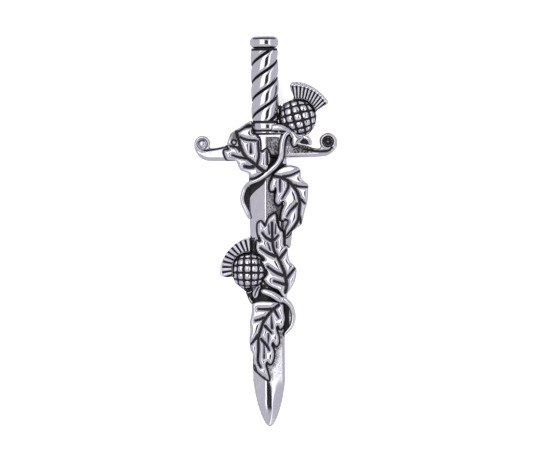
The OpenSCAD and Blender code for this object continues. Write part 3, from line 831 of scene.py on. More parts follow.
@dataclass
class Handle:
    """Pommel, neck, twisted grip and collar: bars with a flat back, lying along the pin."""

    pommel_y: tuple[float, float]
    grip_y: tuple[float, float]
    collar_y: tuple[float, float]
    pommel_r: float
    grip_r: float
    collar_r: float
    centre_z: float
    around: int = 150
    slack: float = 0.05
    # The pommel: its rounded corners, its belly and the line turned in it
    cap_corner: float = 1.1
    cap_barrel: float = 0.20
    cap_line_down: float = 0.52
    cap_line_sag: float = 0.15
    cap_line_w: float = 0.19
    cap_line_deep: float = 0.12
    cap_foot: float = 0.3
    # The neck and the twisted strands under it
    neck_len: float = 0.6
    neck_r: float = 3.2
    strands: int = 3
    pitch: float = 12.8
    start: float = 1.95
    groove: float = 0.75
    strand_swell: float = 2.2
    strand_fall: float = 0.10
    # The collar: places and widths of its band and of the lip below are shares of its length
    band_at: float = 0.52
    band_w: float = 0.27
    band_barrel: float = 0.14
    band_lift: float = 0.22
    lip_at: float = 0.02
    lip_w: float = 0.10
    lip_lift: float = 0.1

    @classmethod
    def from_frame(cls, levels: Levels) -> Handle:
        """Reads the handle's sizes from the frame.

        Args:
            levels: The layers' heights; not used.

        Returns:
            The handle.
        """
        spans = {}
        for name in ("pommel", "grip", "collar"):
            low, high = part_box(name)
            spans[name] = ((low[1] / MM, high[1] / MM), (high[0] - low[0]) / 2 / MM, high[2] / MM)
        pommel, grip, collar = (spans[name][0] for name in ("pommel", "grip", "collar"))
        upper, lower = (pommel[0] + grip[1]) / 2, (grip[0] + collar[1]) / 2
        guard_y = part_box("guard")[1][1] / MM
        return cls((upper, pommel[1]), (lower, upper), (guard_y, lower), spans["pommel"][1],
                   spans["grip"][1], spans["collar"][1], spans["grip"][2] - spans["grip"][1])

    def half(self, y: np.ndarray) -> np.ndarray:
        """Half-width of the handle, and 0 beyond it.

        Args:
            y: Places along the pin.

        Returns:
            The half-width at each place.
        """
        out = np.zeros(len(y))
        for (low, high), radius in ((self.pommel_y, self.pommel_r), (self.grip_y, self.grip_r),
                                    (self.collar_y, self.collar_r)):
            out[(y > low - self.slack) & (y < high + self.slack)] = radius
        return out

    def pommel(self, angles: np.ndarray, y: float) -> tuple[np.ndarray, np.ndarray]:
        """Shapes the barrel cap, with a fine turned line near its top.

        Args:
            angles: Angles round the bar, in degrees.
            y: Place along the pin.

        Returns:
            Radius and darkness at each angle.
        """
        low, high = self.pommel_y
        edge = min(y - low, high - y)
        corner = self.cap_corner
        drop = corner - math.sqrt(max(0.0, corner ** 2 - max(0.0, corner - edge) ** 2))
        across, up = np.cos(np.radians(angles)), np.sin(np.radians(angles))
        down = y - high + self.cap_line_down + self.cap_line_sag * across ** 2
        line = np.exp(-(down / self.cap_line_w) ** 2)
        barrel = self.cap_barrel * (2.0 * (y - low) / (high - low) - 1.0) ** 2
        radius = self.pommel_r - drop - barrel - self.cap_line_deep * line
        foot = ramp(np.full_like(angles, low + self.cap_foot - y), 0.0, 0.25)
        return radius, 1.3 * line * ramp(up, 0.45, 0.65) + 0.75 * foot

    def grip(self, angles: np.ndarray, y: float) -> tuple[np.ndarray, np.ndarray]:
        """Shapes the twisted grip with its dark grooves and the plain neck above it.

        Args:
            angles: Angles round the bar, in degrees.
            y: Place along the pin.

        Returns:
            Radius and darkness at each angle.
        """
        low, high = self.grip_y
        if y > high - self.neck_len:
            return np.full_like(angles, self.neck_r), np.full_like(angles, 1.0)
        turn = self.strands * (angles + 360.0 * (y - low + self.start) / self.pitch) / 2.0
        wave = np.abs(np.sin(np.radians(turn)))
        swell = np.sqrt(np.clip(1.0 - (1.0 - wave) ** self.strand_swell, 0.0, 1.0))
        radius = self.grip_r - self.groove * (1.0 - swell) - self.strand_fall * (1.0 - wave)
        return radius, 1.0 - ramp(wave, 0.20, 0.46)

    def collar(self, angles: np.ndarray, y: float) -> tuple[np.ndarray, np.ndarray]:
        """Shapes the collar: a bright rounded band between two dark lines.

        Args:
            angles: Angles round the bar, in degrees.
            y: Place along the pin.

        Returns:
            Radius and darkness at each angle.
        """
        low, high = self.collar_y
        t = (y - low) / (high - low)
        band = math.exp(-((t - self.band_at) / self.band_w) ** 4)
        lip = math.exp(-((t - self.lip_at) / self.lip_w) ** 2)
        barrel = self.band_barrel * (2.0 * t - 1.0) ** 2
        radius = self.collar_r - barrel - self.band_lift * (1.0 - band) + self.lip_lift * lip
        bright = max(float(ramp(np.array([band]), 0.25, 0.7)[0]), 0.7 * lip)
        return np.full_like(angles, radius), np.full_like(angles, 1.0 - bright)

    def _bar(self, shell: Shell, levels: Levels, stations: np.ndarray,
             shape: Callable[[np.ndarray, float], tuple[np.ndarray, np.ndarray]]) -> None:
        """Adds a bar whose radius and darkness depend on the angle and the place along it.

        Args:
            shell: The piece.
            levels: The layers' heights.
            stations: Places along the pin.
            shape: Gives radius and darkness for angles in degrees and a place.
        """
        rings, darks = [], []
        start = -math.degrees(math.asin(min(0.99, (self.centre_z - levels.back) / self.grip_r)))
        angles = np.linspace(start, 180.0 - start, self.around)
        for y in stations:
            radius, dark = shape(angles, y)
            x = radius * np.cos(np.radians(angles))
            z = self.centre_z + radius * np.sin(np.radians(angles))
            z[0] = z[-1] = levels.back
            z = np.maximum(z, levels.back)
            rings.append(np.stack([x, np.full_like(x, y), z], 1))
            darks.append(dark)
        shell.rings(np.array(rings)[:, ::-1], np.array(darks)[:, ::-1])

    def build(self, shop: Workshop) -> None:
        """Builds the pommel, the grip with its neck, and the collar.

        Args:
            shop: The workshop.
        """
        low, high = self.pommel_y
        ends, step = 1e-3, 0.04
        cap = np.unique(np.concatenate([np.linspace(low, high, 60), [low + ends, high - ends]]))
        foot, top = self.grip_y[0], self.grip_y[1] - self.neck_len
        twist = np.concatenate([np.linspace(foot, top, 190), [top + step, self.grip_y[1]]])
        band = np.linspace(*self.collar_y, 60)
        for name, node, stations, shape in (("pommel_cap", "pommel", cap, self.pommel),
                                            ("twisted_grip", "grip", twist, self.grip),
                                            ("collar_band", "collar", band, self.collar)):
            shell = Shell(name)
            self._bar(shell, shop.levels, stations, shape)
            shop.finish(shell, node)


@dataclass(frozen=True)
class Vein:
    """A chased line, in pixels, with its width at both ends and how deep it is cut."""

    route: Points
    start_w: float = 2.2
    end_w: float = 1.0
    deep: float = 1.0
    step: float = 0.15

    def away(self, points: np.ndarray, photo: PhotoScale) -> np.ndarray:
        """Distance of places from the line's sides, in millimetres, negative in the cut."""
        half = (self.start_w * photo.mm_per_px / 2, self.end_w * photo.mm_per_px / 2)
        return to_line(points, photo.line(self.route, self.step), False, half)


@dataclass(frozen=True)
class SideWeb(Patch):
    """The sunk metal beside the blade: stippled above, a black bar and a smooth strip below."""

    outline_px: Points = ((281, 217.6), (286.5, 218), (290, 222), (292.2, 229), (291.6, 238), (290.2, 247.5),
                          (286.6, 247), (284.6, 246), (284.3, 232), (283.9, 222.5))
    bar_px: tuple[float, float] = (285.9, 230.5)
    height: float = 1.7
    fall: float = 0.75
    upper_dark: float = 0.22
    spacing: float = 0.13
    covers: tuple[str, ...] = ("shoulder_leaf", "middle_leaf")

    def outline(self, shop: Workshop) -> np.ndarray:
        """The web's outline, close beside the blade."""
        return shop.beside(shop.photo.loop(self.outline_px, 0.15))

    def heights(self, points: np.ndarray, outline: np.ndarray, shop: Workshop) -> Surface:
        """Shapes the web.

        Args:
            points: Places on it, one row each, in millimetres.
            outline: Its closed outline in millimetres; not used.
            shop: The workshop.

        Returns:
            Heights, darkness and stipple at those places.
        """
        bar_x, bar_y = shop.photo.point(*self.bar_px)
        upper = ramp(points[:, 1], bar_y - 0.1, bar_y + 0.25)
        right = ramp(points[:, 0], bar_x - 0.12, bar_x + 0.12)
        z = shop.levels.back + self.height - self.fall * (points[:, 0] - bar_x) * right * (1 - upper)
        top = Surface(z, (1 - upper) * (1 - right), upper)
        top.darken(self.upper_dark * upper)
        top.darken(shop.shade(points, self.covers, 0.3))
        return top


@dataclass
class Leaf(Piece):
    """A lobed leaf: swelling fields between chased veins, with a rolled edge."""

    name: str
    node: str
    level: float
    outline_px: Points
    veins: tuple[Vein, ...]
    # Pressed ovals and raised buttons, in pixels: centre across and down, then half-sizes or a radius
    hollows: tuple[tuple[float, float, float, float], ...] = ()
    buds: tuple[tuple[float, float, float], ...] = ()
    covers: tuple[str, ...] = ()
    web: SideWeb | None = None
    swell: float = 0.75
    shoulder: float = 0.38
    roundness: float = 1.15
    crowning: float = 0.12
    sink: float = 0.12
    lean: float = 0.06
    vein_deep: float = 0.22
    rim_drop: float = 0.28
    ripple: float = 0.015
    ripple_mm: float = 2.4
    hollow_deep: float = 0.5
    hollow_dark: float = 0.56
    bud_lift: float = 0.55
    spacing: float = 0.13

    def outline(self, shop: Workshop) -> np.ndarray:
        """The leaf's smooth outline in millimetres."""
        return shop.photo.loop(self.outline_px, self.spacing)

    def base(self, shop: Workshop) -> Base:
        """The leaf starts from what lies under it."""
        return shop.underside

    def heights(self, points: np.ndarray, outline: np.ndarray, shop: Workshop) -> Surface:
        """Shapes the leaf.

        Args:
            points: Places on it, one row each, in millimetres.
            outline: Its closed outline in millimetres.
            shop: The workshop.

        Returns:
            Heights, darkness and stipple at those places.
        """
        far = 9.0
        rim = to_line(points, outline, True)
        vein = np.full(len(points), far)
        top = Surface.polished(vein)
        for line in self.veins:
            away = line.away(points, shop.photo)
            vein = np.minimum(vein, away + 0.5 * (1.0 - line.deep))
            top.darken(line.deep * (1.0 - ramp(away, -0.10, 0.11)))
        from_line = np.minimum(rim + 0.06, np.maximum(vein, 0.0))
        rise = 1.0 - np.exp(-(from_line / self.shoulder) ** self.roundness)
        crown = 1.0 - np.exp(-rim)
        foot = self.level + shop.levels.edge_t
        z = foot + self.swell * ((1.0 - self.crowning) * rise + self.crowning * crown) - self.sink
        z += self.lean * (points[:, 0] - outline[:, 0].mean())
        z -= self.vein_deep * (1.0 - ramp(vein, -0.12, 0.10)) * ramp(rim, 0.0, 0.3)
        z += self.ripple * grain(points, self.ripple_mm, float(len(self.name))) * ramp(rim, 0.0, 0.6)
        top.z = z - self.rim_drop * (1.0 - ramp(rim, 0.0, 0.16))
        self._hollows_and_buds(top, points, shop.photo)
        top.darken(shop.shade(points, self.covers))
        return top

    def _hollows_and_buds(self, top: Surface, points: np.ndarray, photo: PhotoScale) -> None:
        """Presses the round hollows into the leaf and sets its small round buds on it.

        Args:
            top: The leaf's surface, which is changed.
            points: Its places, one row each.
            photo: The photograph's scale.
        """
        px = photo.mm_per_px
        for x, y, rx, ry in self.hollows:
            spot = (points - photo.point(x, y)) / (np.array([rx, ry]) * px)
            hollow = np.exp(-(spot ** 2).sum(1) * 1.2)
            top.z -= self.hollow_deep * hollow
            top.darken(self.hollow_dark * ramp(hollow, 0.10, 0.6))
        for x, y, r in self.buds:
            away = np.sqrt(((points - photo.point(x, y)) ** 2).sum(1)) / (r * px)
            top.z += self.bud_lift * np.sqrt(np.clip(1.0 - away ** 2, 0.0, 1.0))
            ring = np.exp(-((away - 1.25) / 0.3) ** 2)
            top.dark = top.dark * ramp(away, 0.6, 1.0) + 0.9 * ring

    def add_to(self, shell: Shell, shop: Workshop) -> None:
        """Adds the leaf to its piece, with the web beside it where it has one.

        Args:
            shell: The piece.
            shop: The workshop.
        """
        super().add_to(shell, shop)
        if self.web:
            self.web.add_to(shell, shop)


@dataclass
class Blade(Piece):
    """The blade with its shoulders: smooth left face, ridge, and a stippled right face in a smooth rim."""

    shoulder_half: float
    top_y: float
    tip_y: float
    name: str = "blade_face"
    node: str = "blade"
    half_w: float = 4.2
    shoulder_len: float = 2.1
    end_half: float = 3.88
    point_len: float = 11.4
    point_power: float = 1.3
    point_round: float = 0.55
    # The ridge line: along the pin and across it
    ridge: Points = ((-47.5, -0.35), (-42.0, -0.85), (-36.0, -0.8), (5.0, -0.27), (18.0, -0.1))
    bevel: float = 1.45
    roll: float = 0.27
    # Along the pin, width of the rolled ridge, width of the bend beside it, slope of the right face
    sections: tuple[tuple[float, float, float, float], ...] = (
        (-47.3, 0.20, 0.10, 0.55), (-45.4, 0.90, 0.12, 0.55), (-43.0, 1.40, 0.15, 0.55),
        (-40.4, 1.40, 0.60, 0.55), (-38.0, 1.20, 1.70, 0.53), (-35.6, 0.50, 2.60, 0.42),
        (-24.0, 0.50, 2.20, 0.41), (-12.0, 1.05, 1.05, 0.50))
    droop: float = 0.015
    droop_y: float = -38.2
    thinnest: float = 0.2
    edge_round: float = 0.15
    rim_fall: float = 0.28
    panel_end: float = -36.0
    panel_fade: float = 1.2
    panel_deep: float = 0.10
    upper_y: tuple[float, float] = (-12.0, -2.0)
    spacing: float = 0.16
    # Closed outlines, in pixels, of the dark metal inside the vine's curl and between the pieces on top
    pools: tuple[Points, ...] = (
        ((265, 178.5), (256, 182), (247.5, 186), (244, 193), (244, 203), (247, 211), (248.8, 211),
         (249.4, 200), (251.2, 195.7), (255, 191.3), (260.4, 186.8), (264.6, 182.5)),
        ((269, 155), (279, 155), (279.5, 163), (275, 169.5), (270, 170)),
        ((250, 291), (256, 286.5), (262, 284), (266, 287), (262, 289), (262, 294), (268, 296),
         (276, 301.5), (262, 301), (253, 304), (249.8, 304)),
        ((283.5, 230), (286, 230), (286, 245.5), (283.6, 245.5)),
        ((281.8, 159.5), (283.6, 159.5), (282.8, 163.6), (286.4, 164.6), (286.4, 168.5), (278, 169.5)))
    covers: tuple[str, ...] = ("guard_leaf", "shoulder_leaf", "middle_leaf", "lower_leaf", "vine",
                               "lower_bulb", "lower_stem", "lower_knob", "tendril", "lower_tuft")

    @classmethod
    def from_frame(cls) -> Blade:
        """Reads the blade's size from the frame."""
        low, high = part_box("blade")
        return cls(high[0] / MM, high[1] / MM, low[1] / MM)

    @property
    def point_start(self) -> float:
        """Distance of the point's beginning from the blade's top."""
        return self.top_y - self.tip_y - self.point_len

    def half(self, d: np.ndarray) -> np.ndarray:
        """Half-width of the blade.

        Args:
            d: Distances from the blade's top.

        Returns:
            The half-width at each distance.
        """
        start = self.point_start
        share = (d - self.shoulder_len) / (start - self.shoulder_len)
        taper = self.half_w + (self.end_half - self.half_w) * share
        narrow = 1.0 - np.power(np.clip((d - start) / self.point_len, 0, 1), self.point_power)
        point = self.end_half * np.power(np.clip(narrow, 0.0, 1.0), self.point_round)
        return np.where(d < self.shoulder_len, self.shoulder_half, np.where(d < start, taper, point))

    def outline(self, shop: Workshop) -> np.ndarray:
        """Draws the blade's closed outline, with its points closer together towards the tip.

        Args:
            shop: The workshop.

        Returns:
            The outline's points, in millimetres.
        """
        start = self.point_start
        steps = np.concatenate([
            np.linspace(0, self.shoulder_len - 0.02, 8), np.linspace(self.shoulder_len, start, 200),
            start + self.point_len * (1 - (1 - np.linspace(0.02, 0.99, 60)) ** 1.6)])
        half = self.half(steps)
        right = np.stack([half, self.top_y - steps], 1)
        left = np.stack([-half, self.top_y - steps], 1)[::-1]
        return np.concatenate([left, right, [[0.0, self.tip_y]]])

    def heights(self, points: np.ndarray, outline: np.ndarray, shop: Workshop) -> Surface:
        """Shapes the blade.

        Args:
            points: Places on it, one row each, in millimetres.
            outline: Its closed outline in millimetres.
            shop: The workshop.

        Returns:
            Heights, darkness and stipple at those places.
        """
        y = points[:, 1]
        x = points[:, 0] - np.interp(y, *zip(*self.ridge))
        rim = to_line(points, outline, True)
        stations, *rows = zip(*self.sections)
        knee, bend, side = (np.interp(y, stations, row) for row in rows)
        drop = self.roll * turned(x, knee) + (side - self.roll) * turned(x - knee, bend)
        z = shop.levels.blade_ridge - np.where(x < 0, self.bevel * np.clip(-x / self.half_w, 0, 1), drop)
        z -= self.droop * np.clip(self.droop_y - y, 0.0, None) ** 2
        z = np.maximum(z, shop.levels.back + self.thinnest)
        z -= self.edge_round * (1 - ramp(rim, 0.0, 0.2))
        low_end = ramp(y, self.panel_end - self.panel_fade, self.panel_end + self.panel_fade)
        upper = ramp(y, *self.upper_y)
        rim_w = 0.55 + 0.4 * upper
        panel = ramp(x, 0.25, 0.45) * ramp(rim, rim_w - 0.1, rim_w + 0.12) * low_end
        z -= self.panel_deep * panel * upper
        z -= self.rim_fall * (x > 0) * (1 - upper) * low_end * (1 - ramp(rim, 0.0, 0.6))
        z += 0.008 * grain(points, 3.0, 2.0)
        top = Surface.polished(z)
        top.darken(shop.shade(points, self.covers, 0.42))
        for pool in self.pools:
            top.darken(1 - ramp(past_edge(points, shop.photo.loop(pool)), -0.05, 0.15))
        # Within a millimetre of the pieces on top, the panel gets painted shade and denser stipple
        foot = shop.shade(points, self.covers, 1.0)
        rough = grain(points, 1.3, 4.0)
        top.darken(panel * (0.42 * upper + (0.34 - 0.24 * upper) * foot + (0.04 + 0.10 * upper) * rough))
        top.stipple = panel * np.clip(0.20 + 0.80 * upper + 0.85 * foot, 0, 1)
        return top


@dataclass(frozen=True)
class Eye:
    """The eye of a scroll: a button in a moat inside a ring. Radii and widths are in pixels."""

    centre: tuple[float, float]
    # Whether the whole moat is dark, or only a crescent at one side of it
    pooled: bool
    sink: float = 0.35
    ring_r: float = 6.6
    ring_w: float = 1.5
    ring_lift: float = 0.5
    moat_r: float = 4.3
    moat_w: float = 0.8
    moat_deep: float = 0.35
    button_r: float = 3.3
    button_lift: float = 0.42
    reach: tuple[float, float] = (8.0, 9.5)
    clean_r: float = 6.0
    pool: tuple[float, float] = (3.9, 4.6)
    glint: tuple[float, float] = (0.5, 1.5)
    line_r: float = 6.1
    crescent_r: float = 4.6
    crescent_turn: float = 2.0

    def carve(self, top: Surface, points: np.ndarray, arm: float, photo: PhotoScale) -> None:
        """Carves the eye into the guard and darkens it.

        Args:
            top: The guard's surface, which is changed.
            points: Its places, one row each.
            arm: Height of the guard's arms.
            photo: The photograph's scale.
        """
        offset = points - photo.point(*self.centre)
        r = np.sqrt((offset ** 2).sum(1)) / photo.mm_per_px
        ring = np.exp(-((r - self.ring_r) / self.ring_w) ** 2)
        moat = np.exp(-((r - self.moat_r) / self.moat_w) ** 2)
        button = np.sqrt(np.clip(1 - (r / self.button_r) ** 2, 0, 1))
        near = 1 - ramp(r, *self.reach)
        scroll = arm - self.sink + self.ring_lift * ring - self.moat_deep * moat + self.button_lift * button
        top.z = top.z * (1 - near) + scroll * near
        top.dark = top.dark * (1 - near * (r < self.clean_r))
        if self.pooled:
            top.darken(0.97 * (1 - ramp(r, *self.pool)) * (0.5 + 0.5 * ramp(r, *self.glint)))
            top.darken(0.55 * np.exp(-((r - self.line_r) / 0.4) ** 4))
        else:
            turn = np.arctan2(offset[:, 1], offset[:, 0])
            facing = ramp(np.cos(turn - self.crescent_turn), -0.1, 0.8)
            top.darken(0.7 * np.exp(-((r - self.crescent_r) / 0.5) ** 4) * facing)


@dataclass
class Guard(Piece):
    """The cross guard: centre block, stippled arms with smooth rims, and a scroll at each end."""

    span_half: float
    top_y: float
    name: str = "cross_guard"
    node: str = "guard"
    block_lift: float = 0.6
    arm_round: float = 0.80
    arm_rim: float = 1.25
    panel_deep: float = 0.35
    recess_deep: float = 1.1
    groove_deep: float = 0.3
    field_deep: float = 0.12
    # Bands across the right arm, in pixels from the pin's axis: where the stipple comes and goes
    field_x: tuple[float, float, float, float] = (18.0, 30.0, 46.0, 56.0)
    dark_end_x: tuple[float, float, float, float] = (40.0, 52.0, 60.0, 66.0)
    # The field's upper side, in pixels: its height in the photograph at a place across, and its slope
    field_top: tuple[float, float, float] = (144.7, 33.0, 0.17)
    field_low: tuple[float, float] = (153.0, 154.2)
    # The dark corner between block and arm, in pixels: centre across and down, half-width, half-height
    corner_px: tuple[float, float, float, float] = (23.5, 141.0, 5.0, 8.5)
    block_px: Points = ((247, 133), (286.5, 133), (286.5, 157.5), (247, 159))
    panel_px: Points = ((266, 137), (279, 137), (279, 155), (266, 155))
    recess_px: Points = ((269.5, 155), (278.5, 155), (279, 169), (269, 169))
    grooves: tuple[Vein, ...] = (
        Vein(((304, 149), (312, 150.6), (320, 151.4), (328, 150.6), (332, 147.5)), 1.19, 1.7, 1.0, 0.2),
        Vein(((226, 147.2), (216, 149.2), (206, 150.2), (200.5, 149)), 1.05, 1.5, 0.85, 0.2))
    eyes: tuple[Eye, ...] = (Eye((202.3, 144.0), False), Eye((328.0, 141.5), True))
    spacing: float = 0.13
    outline_px: Points = (
        (287, 133.3), (290, 134.5), (292.6, 139), (294, 143), (298, 144), (305, 145), (312, 147.5),
        (318, 148.2), (320.5, 146.5), (319.6, 143.5), (319.4, 139.5), (321, 136.2), (324, 133.9),
        (328, 133), (332, 133.7), (335, 136), (337, 139), (337.8, 142), (337, 146), (335, 149.5),
        (331.5, 153), (326.5, 155.8), (320, 156.8), (312, 157.2), (300, 157.4), (287, 157.6),
        (266, 158.2), (246, 159.2), (244, 161), (236, 161), (222, 161.2), (212, 161.2), (206, 160.6),
        (200.5, 158), (197, 154), (194.6, 149), (194.0, 144), (195.4, 139.5), (198.6, 136.6),
        (202.6, 135.6), (206.6, 136.8), (209.4, 139.6), (210.4, 143.4), (209.6, 147), (212, 148),
        (219, 147.2), (227, 145), (236, 144.6), (245, 144.4), (246, 134))
    covers: tuple[str, ...] = ("guard_leaf", "vine", "strap", "curl", "bract")

    @classmethod
    def from_frame(cls) -> Guard:
        """Reads the guard's place from the frame."""
        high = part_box("guard")[1]
        return cls(high[0] / MM, high[1] / MM)

    def outline(self, shop: Workshop) -> np.ndarray:
        """Draws the guard's outline, kept inside its span.

        Args:
            shop: The workshop.

        Returns:
            The outline's points, in millimetres.
        """
        outline = shop.photo.loop(self.outline_px, 0.18)
        outline[:, 0] = np.clip(outline[:, 0], -self.span_half, self.span_half)
        return outline[::-1]

    def _field(self, top: Surface, points: np.ndarray, photo: PhotoScale) -> None:
        """Stipples the right arm's field and darkens its end and the corner by the block.

        Args:
            top: The guard's surface, which is changed.
            points: Its places, one row each.
            photo: The photograph's scale.
        """
        px = photo.mm_per_px
        right = points[:, 0] > 0
        x_px, y_px = points[:, 0] / px, -points[:, 1] / px + FRAME_H / 2
        height, place, slope = self.field_top
        upper = height + slope * (x_px - place)
        face = np.where(right, ramp(y_px, upper, upper + 1.0) * (1 - ramp(y_px, *self.field_low)), 0.0)
        top.stipple = face * ramp(x_px, *self.field_x[:2]) * (1 - ramp(x_px, *self.field_x[2:]))
        dark_end = face * ramp(x_px, *self.dark_end_x[:2]) * (1 - ramp(x_px, *self.dark_end_x[2:]))
        top.z -= self.field_deep * top.stipple
        top.darken(top.stipple * (0.62 + 0.26 * grain(points, 0.9, 1.0)))
        top.darken(0.5 * dark_end)
        x, y, wide, tall = self.corner_px
        corner = np.exp(-(((x_px - x) / wide) ** 2 + ((y_px - y) / tall) ** 2))
        top.darken(0.50 * ramp(corner, 0.15, 0.7) * right)

    def _block(self, top: Surface, points: np.ndarray, arm: float, shop: Workshop) -> None:
        """Raises the centre block with its stippled panel, its seams and the dark recess under it.

        Args:
            top: The guard's surface, which is changed.
            points: Its places, one row each.
            arm: Height of the guard's arms.
            shop: The workshop.
        """
        block, panel, recess = (shop.photo.mm(px) for px in (self.block_px, self.panel_px, self.recess_px))
        core, plate, void = (inside(points, line) for line in (block, panel, recess))
        edge = to_line(points, block, True)
        lift = np.where(core, ramp(edge, 0.0, 0.35), 0.0)
        top.z = np.where(core, arm + (shop.levels.guard_top - arm) * lift, top.z)
        top.z -= self.panel_deep * np.where(plate, ramp(to_line(points, panel, True), 0.0, 0.3), 0.0)
        top.stipple = np.maximum(top.stipple, plate * 1.0)
        top.darken(plate * (0.56 + 0.15 * grain(points, 1.1, 6.0)))
        top.darken(0.5 * (core & (edge < 0.5) & (points[:, 1] < self.top_y - 0.9)))
        top.darken(ramp(points[:, 1], self.top_y - 0.62, self.top_y - 0.34))
        top.z -= self.recess_deep * np.where(void, ramp(to_line(points, recess, True), 0.0, 0.25), 0.0)
        top.darken(1.0 * void)

    def heights(self, points: np.ndarray, outline: np.ndarray, shop: Workshop) -> Surface:
        """Shapes the guard.

        Args:
            points: Places on it, one row each, in millimetres.
            outline: Its closed outline in millimetres.
            shop: The workshop.

        Returns:
            Heights, darkness and stipple at those places.
        """
        arm = shop.levels.guard_top - self.block_lift
        inward = np.clip(1 - to_line(points, outline, True) / self.arm_rim, 0, 1)
        top = Surface.polished(arm - self.arm_round * (1 - np.sqrt(np.clip(1 - inward ** 2, 0, 1))))
        self._field(top, points, shop.photo)
        for groove in self.grooves:
            cut = 1 - ramp(groove.away(points, shop.photo), -0.05, 0.22)
            top.z -= self.groove_deep * cut
            top.darken(groove.deep * cut)
        self._block(top, points, arm, shop)
        for eye in self.eyes:
            eye.carve(top, points, arm, shop.photo)
        top.darken(shop.shade(points, self.covers, 0.42))
        return top


@dataclass
class Stem:
    """A round stem over the pin: pixel across, pixel down, width in pixels and lift over its level."""

    name: str
    level: float
    route: tuple[tuple[float, float, float, float], ...]
    # How many of the path's last points lay no painted shade on what lies under them
    bare_end: int = 0
    step: float = 0.25

    def path(self, shop: Workshop) -> np.ndarray:
        """Follows the stem's route.

        Args:
            shop: The workshop.

        Returns:
            Its points: across, along, height of its centre, radius.
        """
        rows = np.array(self.route, float)
        radius = rows[:, 2] * shop.photo.mm_per_px / 2
        height = self.level + radius + rows[:, 3]
        return curve(np.column_stack([shop.photo.mm(rows[:, :2]), height, radius]), self.step)

    def note(self, shop: Workshop) -> None:
        """Notes the stem, without its bare end, as something that lies over other pieces."""
        path = self.path(shop)[:-self.bare_end or None]
        shop.cover(self.name, path[:, :2], False, (path[0, 3], path[-1, 3]))


@dataclass(frozen=True)
class Plate(Patch):
    """A sunk plate of dark metal between other pieces, with a level back and maybe a paler right side."""

    outline_px: Points
    level: float
    height: float
    pale_px: float | None = None
    rough: float = 0.05
    spacing: float = 0.18

    def outline(self, shop: Workshop) -> np.ndarray:
        """The plate's outline, close beside the blade and the handle where it starts from the back."""
        outline = shop.photo.loop(self.outline_px)
        return shop.beside(outline) if self.level == shop.levels.back else outline

    def base(self, shop: Workshop) -> Base:
        """The plate starts from its own level."""
        return self.level

    def heights(self, points: np.ndarray, outline: np.ndarray, shop: Workshop) -> Surface:
        """Shapes the plate.

        Args:
            points: Places on it, one row each, in millimetres.
            outline: Its closed outline in millimetres; not used.
            shop: The workshop.

        Returns:
            Heights, darkness and stipple at those places.
        """
        fade = np.zeros(len(points))
        if self.pale_px is not None:
            pale = shop.photo.point(self.pale_px, FRAME_H / 2)[0]
            fade = ramp(points[:, 0], pale, pale + 0.5)
        return Surface(self.level + self.height + self.rough * grain(points, 0.9, 3.0),
                       1.0 - 0.6 * fade + 0.1 * grain(points, 0.7, 5.0), 0.2 + 0.5 * fade)


@dataclass
class Creeper:
    """A stem at the blade's side, with the sunk dark web inside its curl."""

    name: str
    stem: Stem
    web_px: Points
    pale_px: float | None = None
    web_height: float = 0.6

    def build(self, shop: Workshop) -> bpy.types.Object:
        """Builds the stem and its web.

        Args:
            shop: The workshop.

        Returns:
            The finished object.
        """
        shell = Shell(f"{self.name}_stem")
        shell.tube(self.stem.path(shop))
        Plate(self.web_px, shop.levels.back, self.web_height, self.pale_px).add_to(shell, shop)
        return shop.finish(shell, self.name)


@dataclass
class Bulb(Piece):
    """A thistle's scaly bulb: a dome covered with rounded scales in crossed rows."""

    name: str
    node: str
    outline_px: Points
    centre: tuple[float, float]
    radius_px: float
    # Pixel steps from one scale to the next, across and down
    across: tuple[float, float]
    down: tuple[float, float]
    covers: tuple[str, ...] = ()
    by_handle: bool = False
    shift_px: tuple[float, float] = (0.0, 0.0)
    side_z: float = 1.3
    scale_lift: float = 0.45
    squareness: float = 3.6
    wrap: float = 0.86
    spacing: float = 0.11

    def outline(self, shop: Workshop) -> np.ndarray:
        """The bulb's outline in millimetres."""
        outline = shop.photo.loop(self.outline_px, 0.15)
        return shop.beside(outline) if self.by_handle else outline

    def base(self, shop: Workshop) -> Base:
        """The bulb starts from what lies under it."""
        return shop.underside

    def _cells(self, offset: np.ndarray, share: np.ndarray, photo: PhotoScale) -> np.ndarray:
        """Finds where places lie in the pattern of scales.

        Args:
            offset: Places from the bulb's centre, one row each.
            share: Their distance from the centre as a share of the dome's radius.
            photo: The photograph's scale.

        Returns:
            Two numbers for each place, whole at the middle of a scale.
        """
        axes = photo.mm([self.across, self.down, (0.0, 0.0), self.shift_px])
        shift = axes[3] - axes[2]
        basis = np.linalg.inv(np.stack([axes[0] - axes[2], axes[1] - axes[2]], 1))
        bend = np.arcsin(share) / share * self.wrap
        return (offset * bend[:, None] - shift) @ basis.T

    def heights(self, points: np.ndarray, outline: np.ndarray, shop: Workshop) -> Surface:
        """Shapes the bulb.

        Args:
            points: Places on it, one row each, in millimetres.
            outline: Its closed outline in millimetres; not used.
            shop: The workshop.

        Returns:
            Heights, darkness and stipple at those places.
        """
        offset = points - shop.photo.point(*self.centre)
        radius = self.radius_px * shop.photo.mm_per_px
        share = np.clip(np.sqrt((offset ** 2).sum(1)) / (radius * 1.06), 1e-6, 0.999)
        cell = self._cells(offset, share, shop.photo)
        local = cell - np.round(cell)
        gap = 0.5 - (np.abs(local) ** self.squareness).sum(1) ** (1 / self.squareness)
        bump = np.clip(gap / 0.5, 0, 1) ** 0.5
        dome = np.sqrt(1 - share ** 2)
        base = shop.levels.back + self.side_z
        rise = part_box(self.node)[1][2] / MM - self.scale_lift - base
        top = Surface.polished(base + rise * dome + self.scale_lift * bump * (0.35 + 0.65 * dome))
        top.darken(1 - ramp(gap, 0.06, 0.24))
        top.darken(shop.shade(points, self.covers))
        return top


